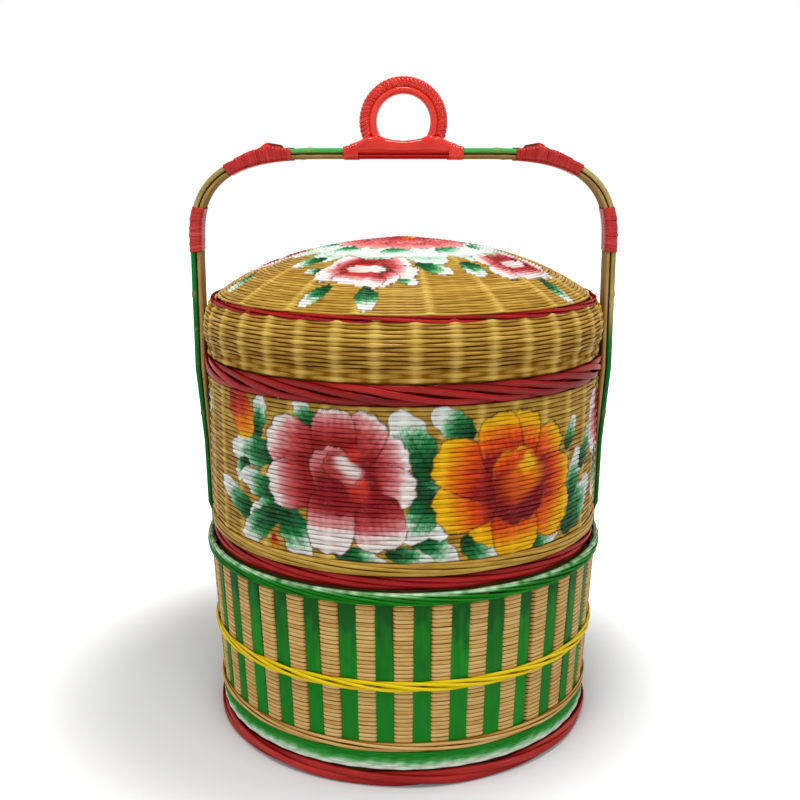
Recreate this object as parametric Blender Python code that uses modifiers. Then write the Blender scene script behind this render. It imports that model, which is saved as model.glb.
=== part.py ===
"""A tiered bamboo food basket: a slatted lower tier, a woven upper tier and a domed lid under a bent handle.

Lengths are in metres, +Z is up, and the front looks along -Y. The origin is the middle of the foot, at its base.
The handle stands in the plane of X and Z, with a leg at each side of the basket.
"""

import math

import bmesh
import bpy
import numpy as np

MM = 0.001

# Clearances
GAP = 0.3 * MM  # between pieces that touch
LEG_CLEARANCE = 0.8 * MM  # between a handle leg and a tier or lid that lifts past it
NEST_CLEARANCE = 0.6 * MM  # round a spigot or collar that drops into a hoop
OVERRUN = 4.0 * MM  # how far a cutter runs past what it cuts

# Facets and turns
SLATS = 32
CORD_TWISTS = 6
POINTS_PER_TWIST = 6
CANE_SIDES = 6
HOOP_FACETS = 48
LOOP_POINTS = 8
ARCH_STEPS = 10
SCARF_POINTS = 9

# Lower tier
FOOT_HOOP_HEIGHT = 12.2 * MM
FOOT_HOOP_DEPTH = 5.7 * MM
FOOT_CANE_HALF_DEPTH = 1.1 * MM
FOOT_CANE_HALF_HEIGHT = 2.5 * MM
BASE_WALL_HEIGHT = 135.6 * MM
BASE_WALL_TOP_RADIUS = 151.9 * MM
BASE_WALL_FLARE = 7.7 * MM  # how much wider the wall is at its top
BASE_WALL_THICKNESS = 2.2 * MM
BASE_FLOOR_THICKNESS = 2.4 * MM
SLAT_THICKNESS = 1.1 * MM
SLAT_SHARE = 0.551  # of one slat and the gap beside it
GREEN_BAND_HEIGHT = 11.8 * MM
NATURAL_BAND_HEIGHT = 8.2 * MM
BAND_DEPTH = 2.2 * MM
BAND_GROOVE = 0.8 * MM
RIM_WEAVE_HEIGHT = 9.2 * MM
RIM_WEAVE_DEPTH = 3.2 * MM
RIM_HOOP_HEIGHT = 10.1 * MM
RIM_HOOP_DEPTH = 5.4 * MM
WAIST_RISE = 65.7 * MM  # from the foot of the wall
WAIST_CANE_HALF_DEPTH = 0.9 * MM
WAIST_CANE_HALF_HEIGHT = 2.0 * MM
WAIST_CROSSING = 1.05 * MM
WAIST_SPREAD = 3.2 * MM
WAIST_SEAT = 3.3 * MM  # from the wall to the middle of the crossing canes
WAIST_LEG_RISE = 1.6 * MM  # how much further out they pass over a handle leg

# Upper tier
SPIGOT_DEPTH = 5.8 * MM
SPIGOT_WALL = 5.0 * MM
UPPER_FOOT_HEIGHT = 9.8 * MM
UPPER_FOOT_STEP = 2.2 * MM
UPPER_FOOT_CANE_HALF_DEPTH = 1.25 * MM
UPPER_FOOT_CANE_HALF_HEIGHT = 2.25 * MM
UPPER_FLOOR_THICKNESS = 2.5 * MM
UPPER_WALL_HEIGHT = 131.6 * MM
UPPER_WALL_STEP = 4.9 * MM  # from its foot hoop out to the wall
UPPER_WALL_FLARE = 0.6 * MM
UPPER_WALL_THICKNESS = 2.4 * MM
UPPER_BAND_HEIGHT = 9.6 * MM
UPPER_BAND_DEPTH = 1.1 * MM
UPPER_BAND_GROOVE = 0.5 * MM
UPPER_NECK_STEP = 4.0 * MM  # from the wall in to the neck
UPPER_RIM_HEIGHT = 14.4 * MM
UPPER_RIM_CANE_HALF_DEPTH = 1.3 * MM
UPPER_RIM_CANE_HALF_HEIGHT = 3.2 * MM
UPPER_RIM_HOOP_DEPTH = 3.0 * MM

# Lid
COLLAR_WALL = 3.0 * MM
COLLAR_DROP = 7.4 * MM
COLLAR_FLANGE_HEIGHT = 5.6 * MM
HEM_STEP = 0.7 * MM  # from the upper tier's neck out to the inside of the hem
HEM_DEPTH = 4.4 * MM
HEM_HEIGHT = 9.4 * MM
LID_BULGE = 1.4 * MM  # of the band past the hem
LID_BAND_HEIGHT = 29.6 * MM
SHOULDER_STEP = 6.7 * MM  # from the bulge in to the shoulder
LID_THICKNESS = 2.4 * MM
DOME_STEP = 3.4 * MM  # from the shoulder in to the dome
DOME_HEIGHT = 46.2 * MM
DOME_RIM_HEIGHT = 3.6 * MM  # its upright edge, which the shoulder canes hug
LEDGE_OVERHANG = 1.6 * MM  # how far the band's top reaches in under the dome's edge
SHOULDER_CANE_HALF_DEPTH = 0.85 * MM
SHOULDER_CANE_HALF_HEIGHT = 0.95 * MM

# Handle
LEG_RISE = 79.9 * MM  # from the upper tier's top to where the arch springs
ARCH_RISE = 68.0 * MM
ARCH_BREADTH = 98.0 * MM  # of each rounded corner
ARCH_POWER_SHARE = 2.8
OUTER_STRIP = 4.4 * MM
INNER_STRIP = 3.6 * MM
OUTER_STRIP_ROOT = 2.4 * MM
INNER_STRIP_TIP = 1.2 * MM
STRIP_HALF_WIDTH = 10.0 * MM
STRIP_ROOT_HALF_WIDTH = 4.6 * MM
INNER_STRIP_LIFT = 7.0 * MM  # its tip above the upper tier's foot canes
LEG_TUCK = 7.0 * MM  # how deep the leg's foot goes behind the natural band
STRIP_CROWN_SHARE = 0.72  # where the outer face of a strip begins to round off
WINDING_HALF_DEPTH = 0.7 * MM
WINDING_HALF_BREADTH = 1.9 * MM
WINDING_PITCH = 5.0 * MM
LEG_WINDING_DROP = 4.0 * MM  # below where the arch springs
LEG_WINDING_LENGTH = 33.0 * MM
CORNER_WINDING_INSET = 74.0 * MM  # along X, from the leg to where it begins
CORNER_WINDING_LENGTH = 50.0 * MM
SCARF_LENGTH = 42.0 * MM
SCARF_RISE = 3.6 * MM
SCARF_EDGE = 0.8 * MM
SCARF_PEAK_SHARE = 0.4
BINDING_LENGTH = 10.0 * MM
BINDING_INSET = 1.0 * MM  # from the tip of the ring's foot
GRIP_RADIUS = 26.6 * MM
GRIP_LIFT = 23.6 * MM  # of its middle over the joint of the strips
GRIP_CANE_RADIUS = 4.2 * MM
GRIP_TIP_RADIUS = 2.1 * MM
GRIP_SPREAD = 45.0 * MM
GRIP_FLARE_RADIUS = 3.1 * MM
GRIP_FLAT_SHARE = 0.36  # of the spread from where the ring ends, where its feet come to lie flat
GRIP_OPEN_ANGLE = 30.0  # degrees below level where the ring turns out into its feet
GRIP_ARC_POINTS = 17
GRIP_WINDING_HALF_DEPTH = 0.7 * MM
GRIP_WINDING_HALF_BREADTH = 2.4 * MM
GRIP_TURNS = 11
GRIP_WOUND_ANGLE = 20.0  # degrees below level where its winding ends
SADDLE_HALF_LENGTH = 14.0 * MM
SADDLE_HALF_WIDTH = 8.0 * MM
SADDLE_HEIGHT = 4.6 * MM
SADDLE_EDGE = 1.2 * MM
LASHING_HEIGHT = 9.0 * MM
LASHING_THICKNESS = 1.0 * MM
LASHING_DROP = 2.6 * MM  # from the rim weave down to the lashing, and from the foot band up to it

# Shares that shape a twisted pair: how far each cane swings, of its own half depth and half height
SWING_DEPTH_SHARE = 1.32
SWING_HEIGHT_SHARE = 1.2

# Outlines, as shares of the sizes that they follow
LID_BAND_SHARES = ((0.0, -0.009), (0.25, 0.0), (0.75, -0.011))  # height, radius less 1
DOME_SHARES = ((0.824, 0.413), (0.655, 0.636), (0.42, 0.835), (0.2, 0.93))  # radius, height


def clear_scene():
    for obj in list(bpy.data.objects):
        bpy.data.objects.remove(obj, do_unlink=True)


def collection(name):
    found = bpy.data.collections.new(name)
    bpy.context.scene.collection.children.link(found)
    return found


def material(name, colour, roughness):
    made = bpy.data.materials.new(name)
    made.use_nodes = True
    shader = made.node_tree.nodes["Principled BSDF"]
    shader.inputs["Base Color"].default_value = (*colour, 1.0)
    shader.inputs["Roughness"].default_value = roughness
    shader.inputs["Metallic"].default_value = 0.0
    return made


clear_scene()
PARTS = collection("food_basket")
GUIDES = collection("guides")
NATURAL = material("natural_cane", (0.52, 0.30, 0.08), 0.4)
RED = material("red_lacquer", (0.58, 0.03, 0.02), 0.25)
GREEN = material("green_lacquer", (0.01, 0.20, 0.04), 0.25)
YELLOW = material("yellow_lacquer", (0.90, 0.52, 0.02), 0.3)


def place(obj, paint=None, guide=False):
    (GUIDES if guide else PARTS).objects.link(obj)
    if guide:
        obj.hide_render = True
        obj.display_type = "WIRE"
    if paint:
        obj.data.materials.append(paint)
    return obj


def solid_mesh(obj):
    """The object's mesh with its modifiers applied."""
    graph = bpy.context.evaluated_depsgraph_get()
    graph.update()
    return bpy.data.meshes.new_from_object(obj.evaluated_get(graph), depsgraph=graph)


def sagitta(radius, points):
    """How far the middle of a facet lies inside the circle that its ends are on."""
    return radius * (1.0 - math.cos(math.pi / points))


def profile_mesh(name, outline, closed):
    """A profile in the plane of X and Z. It runs down its outer side, so that turning it faces outwards."""
    mesh = bpy.data.meshes.new(name)
    count = len(outline)
    edges = [(i, (i + 1) % count) for i in range(count if closed else count - 1)]
    mesh.from_pydata([(r, 0.0, z) for r, z in outline], edges, [])
    return mesh


def turned(name, outline, facets, paint, closed=True):
    """A ring, or a disc when the open outline starts and ends on the axis, turned about Z."""
    obj = place(bpy.data.objects.new(name, profile_mesh(name, outline, closed)), paint)
    screw = obj.modifiers.new("turn", "SCREW")
    screw.axis = "Z"
    screw.angle = math.tau
    screw.steps = facets
    screw.render_steps = facets
    screw.use_merge_vertices = True
    screw.merge_threshold = 0.01 * MM
    return obj


def shell(name, outline, facets, thickness, side, paint):
    """A turned wall of even thickness on one side of its outline."""
    obj = turned(name, outline, facets, paint, closed=False)
    wall = obj.modifiers.new("wall", "SOLIDIFY")
    wall.thickness = thickness
    wall.offset = side
    wall.use_even_offset = True
    return obj


def box_outline(inner, outer, low, high):
    return [(outer, high), (outer, low), (inner, low), (inner, high)]


def disc(name, radius, low, thickness, paint):
    outline = [(0.0, low + thickness), (radius, low + thickness), (radius, low), (0.0, low)]
    return turned(name, outline, HOOP_FACETS, paint, closed=False)


def strand_band(name, inner, low, height, depth, groove, strands, facets, paint):
    """Rows of thick cane lying on a wall, as one ring with a ridge for each row. inner(z) is its seat."""
    steps = 2 * strands
    outline = []
    for step in range(steps, -1, -1):
        z = low + height * step / steps
        ridge = depth if step % 2 else depth - groove
        outline.append((inner(z) + ridge, z))
    outline += [(inner(low), low), (inner(low + height), low + height)]
    return turned(name, outline, facets, paint)


def oval_section(half_depth, half_height):
    """The section that a flat-oval cane is drawn along its curve with."""
    data = bpy.data.curves.new("cane_section", "CURVE")
    data.dimensions = "2D"
    spline = data.splines.new("POLY")
    spline.points.add(CANE_SIDES - 1)
    for i, point in enumerate(spline.points):
        angle = -math.tau * i / CANE_SIDES
        point.co = (half_depth * math.cos(angle), half_height * math.sin(angle), 0.0, 1.0)
    spline.use_cyclic_u = True
    return place(bpy.data.objects.new("cane_section", data), guide=True)


def ring_cane(name, points, half_depth, half_height, paint):
    """A closed loop of flat-oval cane through the points."""
    data = bpy.data.curves.new(name, "CURVE")
    data.dimensions = "3D"
    data.twist_mode = "Z_UP"
    data.bevel_mode = "OBJECT"
    data.bevel_object = oval_section(half_depth, half_height)
    spline = data.splines.new("POLY")
    spline.points.add(len(points) - 1)
    for point, place_at in zip(spline.points, points):
        point.co = (*place_at, 1.0)
    spline.use_cyclic_u = True
    return place(bpy.data.objects.new(name, data), paint)


def round_cane(name, points, radius, paint, radii=None):
    """A length of round cane through the points, closed at both ends."""
    data = bpy.data.curves.new(name, "CURVE")
    data.dimensions = "3D"
    data.bevel_depth = radius
    data.bevel_resolution = 1
    data.use_fill_caps = True
    spline = data.splines.new("POLY")
    spline.points.add(len(points) - 1)
    for i, point in enumerate(spline.points):
        point.co = (*points[i], 1.0)
        point.radius = radii[i] / radius if radii else 1.0
    return place(bpy.data.objects.new(name, data), paint)


def cord_pair(name, seat_radius, middle, half_depth, half_height, paint):
    """Two flat-oval canes twisted round each other into a ring that hugs a hoop of the given radius."""
    swing_depth = SWING_DEPTH_SHARE * half_depth
    swing_height = SWING_HEIGHT_SHARE * half_height
    count = CORD_TWISTS * POINTS_PER_TWIST
    ring = seat_radius + GAP + swing_depth + half_depth
    ring += sagitta(ring, count)
    for letter, start in (("a", 0.0), ("b", math.pi)):
        points = []
        for i in range(count):
            angle = math.tau * i / count
            lay = start + angle * CORD_TWISTS
            radius = ring + swing_depth * math.cos(lay)
            height = middle + swing_height * math.sin(lay)
            points.append((radius * math.cos(angle), radius * math.sin(angle), height))
        ring_cane(f"{name}_{letter}", points, half_depth, half_height, paint)
    return ring + swing_depth + half_depth


def base_wall_radius(z):
    share = (z - BASE_WALL_LOW) / BASE_WALL_HEIGHT
    return BASE_WALL_FOOT_RADIUS + (BASE_WALL_TOP_RADIUS - BASE_WALL_FOOT_RADIUS) * share


def band_seat(z):
    """Where a band of weave lies on the slat cage."""
    return base_wall_radius(z) + GAP + SLAT_THICKNESS + GAP


BASE_WALL_FOOT_RADIUS = BASE_WALL_TOP_RADIUS - BASE_WALL_FLARE
FOOT_HOOP_RADIUS = BASE_WALL_FOOT_RADIUS
BASE_WALL_LOW = FOOT_HOOP_HEIGHT + GAP
BASE_TOP = BASE_WALL_LOW + BASE_WALL_HEIGHT
WAIST_HEIGHT = BASE_WALL_LOW + WAIST_RISE
BAND_LOW = BASE_WALL_LOW + GAP
NATURAL_BAND_LOW = BAND_LOW + GREEN_BAND_HEIGHT + GAP
WINDOW_LOW = NATURAL_BAND_LOW + NATURAL_BAND_HEIGHT + GAP
RIM_WEAVE_LOW = BASE_TOP - RIM_WEAVE_HEIGHT
WINDOW_HIGH = RIM_WEAVE_LOW - GAP
UPPER_FOOT_LOW = BASE_TOP + GAP
UPPER_WALL_LOW = UPPER_FOOT_LOW + UPPER_FOOT_HEIGHT + GAP
UPPER_TOP = UPPER_WALL_LOW + UPPER_WALL_HEIGHT
UPPER_RIM_LOW = UPPER_TOP - UPPER_RIM_HEIGHT
RIM_HOOP_INNER = BASE_WALL_TOP_RADIUS - BASE_WALL_THICKNESS - GAP - RIM_HOOP_DEPTH - GAP
SPIGOT_RADIUS = RIM_HOOP_INNER - NEST_CLEARANCE
UPPER_FOOT_RADIUS = SPIGOT_RADIUS + UPPER_FOOT_STEP
UPPER_WALL_FOOT_RADIUS = UPPER_FOOT_RADIUS + UPPER_WALL_STEP
UPPER_WALL_RADIUS = UPPER_WALL_FOOT_RADIUS + UPPER_WALL_FLARE
UPPER_NECK_RADIUS = UPPER_WALL_RADIUS - UPPER_NECK_STEP
UPPER_RIM_HOOP_RADIUS = UPPER_NECK_RADIUS - UPPER_WALL_THICKNESS - GAP
COLLAR_RADIUS = UPPER_RIM_HOOP_RADIUS - UPPER_RIM_HOOP_DEPTH - NEST_CLEARANCE
LID_LOW = UPPER_TOP + GAP
HEM_INNER = UPPER_NECK_RADIUS + HEM_STEP
LID_BAND_RADIUS = HEM_INNER + HEM_DEPTH + LID_BULGE
LID_SHOULDER_RADIUS = LID_BAND_RADIUS - SHOULDER_STEP
DOME_RADIUS = LID_SHOULDER_RADIUS - DOME_STEP
LID_BAND_LOW = LID_LOW + GAP + HEM_HEIGHT + GAP
SHOULDER_HEIGHT = LID_BAND_LOW + LID_BAND_HEIGHT
DOME_LOW = SHOULDER_HEIGHT + GAP


def cage_angle(angle):
    """Moves the evenly turned lines to the slats' edges, with a gap centred on each multiple of the pitch."""
    pitch = math.tau / SLATS
    half_gap = pitch * (1.0 - SLAT_SHARE) / 2.0
    step = round((angle + pitch / 4.0) / (pitch / 2.0))
    middle = math.floor(step / 2.0) * pitch
    return middle - half_gap if step % 2 == 0 else middle + half_gap


def slat_cage():
    """The upright green slats, in one piece with the hidden hoops that they spring from."""
    facets = 2 * SLATS
    heights = (BASE_TOP - GAP, WINDOW_HIGH, WINDOW_LOW, BAND_LOW)
    outline = [(base_wall_radius(z) + GAP, z) for z in heights]
    turned_obj = turned("slat_cage", outline, facets, GREEN, closed=False)
    mesh = solid_mesh(turned_obj)
    bpy.data.objects.remove(turned_obj, do_unlink=True)
    half_step = math.pi / facets
    pitch = math.tau / SLATS
    shaped = bmesh.new()
    shaped.from_mesh(mesh)
    for vertex in shaped.verts:
        radius = math.hypot(vertex.co.x, vertex.co.y)
        angle = cage_angle(math.atan2(vertex.co.y, vertex.co.x) - half_step)
        vertex.co.x = radius * math.cos(angle)
        vertex.co.y = radius * math.sin(angle)
    windows = []
    for face in shaped.faces:
        middle = face.calc_center_median()
        turn = math.atan2(middle.y, middle.x) / pitch
        in_gap = abs(turn - round(turn)) < (1.0 - SLAT_SHARE) / 2.0
        if in_gap and WINDOW_LOW < middle.z < WINDOW_HIGH:
            windows.append(face)
    bmesh.ops.delete(shaped, geom=windows, context="FACES")
    shaped.to_mesh(mesh)
    shaped.free()
    cage = place(bpy.data.objects.new("slat_cage", mesh))
    wall = cage.modifiers.new("wall", "SOLIDIFY")
    wall.thickness = SLAT_THICKNESS
    wall.offset = 1.0
    wall.use_even_offset = True
    reach = BAND_DEPTH + OVERRUN
    lashed = LASHING_THICKNESS + GAP
    for side in (-1.0, 1.0):
        cut(cage, leg_cutter(side, NATURAL_BAND_LOW, WINDOW_LOW + OVERRUN, reach))
        cut(cage, leg_cutter(side, WINDOW_LOW + LASHING_DROP / 2.0, WINDOW_HIGH - LASHING_DROP / 2.0, reach, lashed))
        cut(cage, leg_cutter(side, RIM_WEAVE_LOW - OVERRUN, BASE_TOP + OVERRUN, reach))
    return cage


def cut(obj, cutter):
    boolean = obj.modifiers.new("cut", "BOOLEAN")
    boolean.operation = "DIFFERENCE"
    boolean.solver = "EXACT"
    boolean.object = cutter
    return boolean


def leg_cutter(side, low, high, reach, more=0.0):
    """A slot for a handle leg: a box from inside the wall's face out to the given reach past it.

    more is added at each side, where something is bound over the leg.
    """
    near = base_wall_radius(low) - OVERRUN
    far = base_wall_radius(high) + reach
    mesh = bpy.data.meshes.new("leg_cutter")
    box = bmesh.new()
    bmesh.ops.create_cube(box, size=1.0)
    half_width = STRIP_ROOT_HALF_WIDTH + GAP + more
    bmesh.ops.scale(box, vec=(far - near, 2.0 * half_width, high - low), verts=box.verts)
    box.to_mesh(mesh)
    box.free()
    cutter = place(bpy.data.objects.new("leg_cutter", mesh), guide=True)
    cutter.location = (side * (near + far) / 2.0, 0.0, (low + high) / 2.0)
    return cutter


def waist_canes():
    """The yellow pair that crosses in every gap between slats, and passes level over the two legs."""
    pitch = math.tau / SLATS
    leg_gaps = (0, SLATS // 2)
    for letter, start in (("a", 1.0), ("b", -1.0)):
        side = start
        points = []
        for slat in range(SLATS):
            over_leg = slat in leg_gaps
            seat = base_wall_radius(WAIST_HEIGHT) + WAIST_SEAT + sagitta(BASE_WALL_TOP_RADIUS, 2 * SLATS)
            if over_leg:
                radius, height = seat + WAIST_LEG_RISE, WAIST_HEIGHT + side * WAIST_SPREAD
            else:
                radius, height = seat + side * WAIST_CROSSING, WAIST_HEIGHT
                side = -side
            angle = slat * pitch
            points.append((radius * math.cos(angle), radius * math.sin(angle), height))
            angle += pitch / 2.0
            height = WAIST_HEIGHT + side * WAIST_SPREAD
            points.append((seat * math.cos(angle), seat * math.sin(angle), height))
        ring_cane(f"waist_cane_{letter}", points, WAIST_CANE_HALF_DEPTH, WAIST_CANE_HALF_HEIGHT, YELLOW)


def lower_tier():
    inner = FOOT_HOOP_RADIUS - FOOT_HOOP_DEPTH
    turned("foot_hoop", box_outline(inner, FOOT_HOOP_RADIUS, 0.0, FOOT_HOOP_HEIGHT), HOOP_FACETS, NATURAL)
    middle = FOOT_HOOP_HEIGHT / 2.0
    cord_pair("foot_cane", FOOT_HOOP_RADIUS, middle, FOOT_CANE_HALF_DEPTH, FOOT_CANE_HALF_HEIGHT, RED)
    floor_radius = BASE_WALL_FOOT_RADIUS - BASE_WALL_THICKNESS - GAP
    disc("base_floor", floor_radius, BASE_WALL_LOW, BASE_FLOOR_THICKNESS, NATURAL)
    outline = [(BASE_WALL_TOP_RADIUS, BASE_TOP), (BASE_WALL_FOOT_RADIUS, BASE_WALL_LOW)]
    shell("base_wall", outline, 2 * SLATS, BASE_WALL_THICKNESS, -1.0, NATURAL)
    slat_cage()
    facets = 2 * SLATS
    low, height = BAND_LOW, GREEN_BAND_HEIGHT
    strand_band("base_band_green", band_seat, low, height, BAND_DEPTH, BAND_GROOVE, 1, facets, GREEN)
    low, height = NATURAL_BAND_LOW, NATURAL_BAND_HEIGHT
    depth, groove = BAND_DEPTH, BAND_GROOVE
    natural = strand_band("base_band_natural", band_seat, low, height, depth, groove, 1, facets, NATURAL)
    low, height = RIM_WEAVE_LOW, RIM_WEAVE_HEIGHT
    depth = RIM_WEAVE_DEPTH
    weave = strand_band("base_rim_weave", band_seat, low, height, depth, groove, 1, facets, GREEN)
    for side in (-1.0, 1.0):
        leg_face = GAP + OUTER_STRIP_ROOT + GAP
        cut(natural, leg_cutter(side, LEG_FOOT - 2.0 * GAP, WINDOW_LOW + OVERRUN, leg_face))
        cut(weave, leg_cutter(side, RIM_WEAVE_LOW - OVERRUN, BASE_TOP + OVERRUN, leg_face))
    hoop_low = BASE_TOP - RIM_HOOP_HEIGHT
    hoop_outer = base_wall_radius(hoop_low) - BASE_WALL_THICKNESS - 2.0 * GAP
    outline = box_outline(RIM_HOOP_INNER, hoop_outer, hoop_low, BASE_TOP)
    turned("base_rim_hoop", outline, HOOP_FACETS, NATURAL)
    waist_canes()


def upper_seat(z):
    """Where the thick rows at the foot of the upper tier lie on its wall."""
    share = (z - UPPER_WALL_LOW) / (UPPER_RIM_LOW - GAP - UPPER_WALL_LOW)
    return UPPER_WALL_FOOT_RADIUS + (UPPER_WALL_RADIUS - UPPER_WALL_FOOT_RADIUS) * share + GAP


def hem_seat(z):
    return HEM_INNER


def upper_tier():
    outline = [
        (UPPER_FOOT_RADIUS, UPPER_FOOT_LOW + UPPER_FOOT_HEIGHT),
        (UPPER_FOOT_RADIUS, UPPER_FOOT_LOW),
        (SPIGOT_RADIUS, UPPER_FOOT_LOW),
        (SPIGOT_RADIUS, UPPER_FOOT_LOW - SPIGOT_DEPTH),
        (SPIGOT_RADIUS - SPIGOT_WALL, UPPER_FOOT_LOW - SPIGOT_DEPTH),
        (SPIGOT_RADIUS - SPIGOT_WALL, UPPER_FOOT_LOW + UPPER_FOOT_HEIGHT),
    ]
    turned("upper_foot_hoop", outline, HOOP_FACETS, NATURAL)
    middle = UPPER_FOOT_LOW + UPPER_FOOT_HEIGHT / 2.0
    depth, height = UPPER_FOOT_CANE_HALF_DEPTH, UPPER_FOOT_CANE_HALF_HEIGHT
    cord_pair("upper_foot_cane", UPPER_FOOT_RADIUS, middle, depth, height, RED)
    floor_radius = UPPER_WALL_FOOT_RADIUS - UPPER_WALL_THICKNESS - GAP
    disc("upper_floor", floor_radius, UPPER_WALL_LOW, UPPER_FLOOR_THICKNESS, NATURAL)
    outline = [
        (UPPER_NECK_RADIUS, UPPER_TOP),
        (UPPER_NECK_RADIUS, UPPER_RIM_LOW + UPPER_WALL_THICKNESS),
        (UPPER_WALL_RADIUS, UPPER_RIM_LOW - GAP),
        (UPPER_WALL_FOOT_RADIUS, UPPER_WALL_LOW),
    ]
    shell("upper_wall", outline, HOOP_FACETS, UPPER_WALL_THICKNESS, -1.0, NATURAL)
    low, height, depth, groove = UPPER_WALL_LOW, UPPER_BAND_HEIGHT, UPPER_BAND_DEPTH, UPPER_BAND_GROOVE
    strand_band("upper_base_band", upper_seat, low, height, depth, groove, 1, HOOP_FACETS, NATURAL)
    middle = UPPER_RIM_LOW + UPPER_RIM_HEIGHT / 2.0
    depth, height = UPPER_RIM_CANE_HALF_DEPTH, UPPER_RIM_CANE_HALF_HEIGHT
    cord_pair("upper_rim_cane", UPPER_NECK_RADIUS, middle, depth, height, RED)
    hoop_outer = UPPER_RIM_HOOP_RADIUS - GAP
    hoop_inner = UPPER_RIM_HOOP_RADIUS - UPPER_RIM_HOOP_DEPTH
    outline = box_outline(hoop_inner, hoop_outer, UPPER_RIM_LOW, UPPER_TOP)
    turned("upper_rim_hoop", outline, HOOP_FACETS, NATURAL)


def lid():
    flange = HEM_INNER - GAP
    inner = COLLAR_RADIUS - COLLAR_WALL
    outline = [
        (flange, LID_LOW + COLLAR_FLANGE_HEIGHT),
        (flange, LID_LOW),
        (COLLAR_RADIUS, LID_LOW),
        (COLLAR_RADIUS, LID_LOW - COLLAR_DROP),
        (inner, LID_LOW - COLLAR_DROP),
        (inner, LID_LOW + COLLAR_FLANGE_HEIGHT),
    ]
    turned("lid_collar", outline, HOOP_FACETS, NATURAL)
    low, height = LID_LOW + GAP, HEM_HEIGHT
    strand_band("lid_hem", hem_seat, low, height, HEM_DEPTH, BAND_GROOVE, 1, HOOP_FACETS, NATURAL)
    ledge = DOME_RADIUS - LID_THICKNESS - LEDGE_OVERHANG
    outline = [(ledge, SHOULDER_HEIGHT), (LID_SHOULDER_RADIUS, SHOULDER_HEIGHT)]
    for height_share, radius_share in reversed(LID_BAND_SHARES):
        radius = LID_BAND_RADIUS * (1.0 + radius_share)
        outline.append((radius, LID_BAND_LOW + LID_BAND_HEIGHT * height_share))
    shell("lid_band", outline, HOOP_FACETS, LID_THICKNESS, -1.0, NATURAL)
    outline = [(0.0, DOME_LOW + DOME_HEIGHT)]
    for radius_share, height_share in reversed(DOME_SHARES):
        outline.append((DOME_RADIUS * radius_share, DOME_LOW + DOME_HEIGHT * height_share))
    outline += [(DOME_RADIUS, DOME_LOW + DOME_RIM_HEIGHT), (DOME_RADIUS, DOME_LOW)]
    shell("lid_dome", outline, HOOP_FACETS, LID_THICKNESS, -1.0, NATURAL)
    depth, height = SHOULDER_CANE_HALF_DEPTH, SHOULDER_CANE_HALF_HEIGHT
    middle = DOME_LOW + height * (1.0 + SWING_HEIGHT_SHARE)
    cord_pair("shoulder_cane", DOME_RADIUS, middle, depth, height, RED)


def strand_swing(half_depth):
    """The whole depth of a twisted pair."""
    return 2.0 * half_depth * (1.0 + SWING_DEPTH_SHARE)


UPPER_FOOT_OUTER = UPPER_FOOT_RADIUS + GAP + GAP + strand_swing(UPPER_FOOT_CANE_HALF_DEPTH)
UPPER_RIM_OUTER = UPPER_NECK_RADIUS + GAP + GAP + strand_swing(UPPER_RIM_CANE_HALF_DEPTH)
LEG_FACE = max(UPPER_RIM_OUTER, LID_BAND_RADIUS) + LEG_CLEARANCE
LEG_WAIST_FACE = UPPER_WALL_RADIUS + 2.0 * LEG_CLEARANCE
LEG_FOOT_FACE = UPPER_FOOT_OUTER + LEG_CLEARANCE
ARCH_SPRING_HEIGHT = UPPER_TOP + LEG_RISE
HANDLE_TOP_HEIGHT = ARCH_SPRING_HEIGHT + ARCH_RISE  # the joint between its strips
LEG_LINE_X = LEG_FACE + INNER_STRIP + GAP / 2.0
GRIP_HEIGHT = HANDLE_TOP_HEIGHT + GRIP_LIFT
BINDING_START = GRIP_SPREAD - BINDING_INSET - BINDING_LENGTH
INNER_TIP_HEIGHT = UPPER_WALL_LOW + INNER_STRIP_LIFT
LEG_FOOT = WINDOW_LOW - LEG_TUCK + GAP
SCARF_MARGIN = (1.0 - SCARF_LENGTH / CORNER_WINDING_LENGTH) / 2.0


def leg_stations():
    """From the arch down: height, the joint between the strips, both thicknesses and the half width."""
    waist = (UPPER_WALL_LOW + UPPER_RIM_LOW) / 2.0
    mid_inner = (INNER_STRIP + 2.0 * INNER_STRIP_TIP) / 3.0
    mid_outer = (OUTER_STRIP + OUTER_STRIP_ROOT) / 2.0
    mid_width = (STRIP_HALF_WIDTH + STRIP_ROOT_HALF_WIDTH) / 2.0
    half = GAP / 2.0
    top = LEG_LINE_X
    middle = LEG_WAIST_FACE + mid_inner + half
    tip = LEG_FOOT_FACE + INNER_STRIP_TIP + half
    root = LEG_FOOT_FACE - half
    rows = [
        (ARCH_SPRING_HEIGHT, top, INNER_STRIP, OUTER_STRIP, STRIP_HALF_WIDTH),
        (UPPER_TOP, top, INNER_STRIP, OUTER_STRIP, STRIP_HALF_WIDTH),
        (UPPER_RIM_LOW, top, INNER_STRIP, OUTER_STRIP, STRIP_HALF_WIDTH),
        (waist, middle, mid_inner, mid_outer, mid_width),
        (INNER_TIP_HEIGHT, tip, INNER_STRIP_TIP, mid_outer, STRIP_ROOT_HALF_WIDTH),
    ]
    for z, x in ((UPPER_WALL_LOW, root), (UPPER_FOOT_LOW, root)):
        rows.append((z, x, 0.0, OUTER_STRIP_ROOT, STRIP_ROOT_HALF_WIDTH))
    for z in (RIM_WEAVE_LOW, LEG_FOOT):
        rows.append((z, base_wall_radius(z) + half, 0.0, OUTER_STRIP_ROOT, STRIP_ROOT_HALF_WIDTH))
    return rows


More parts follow.
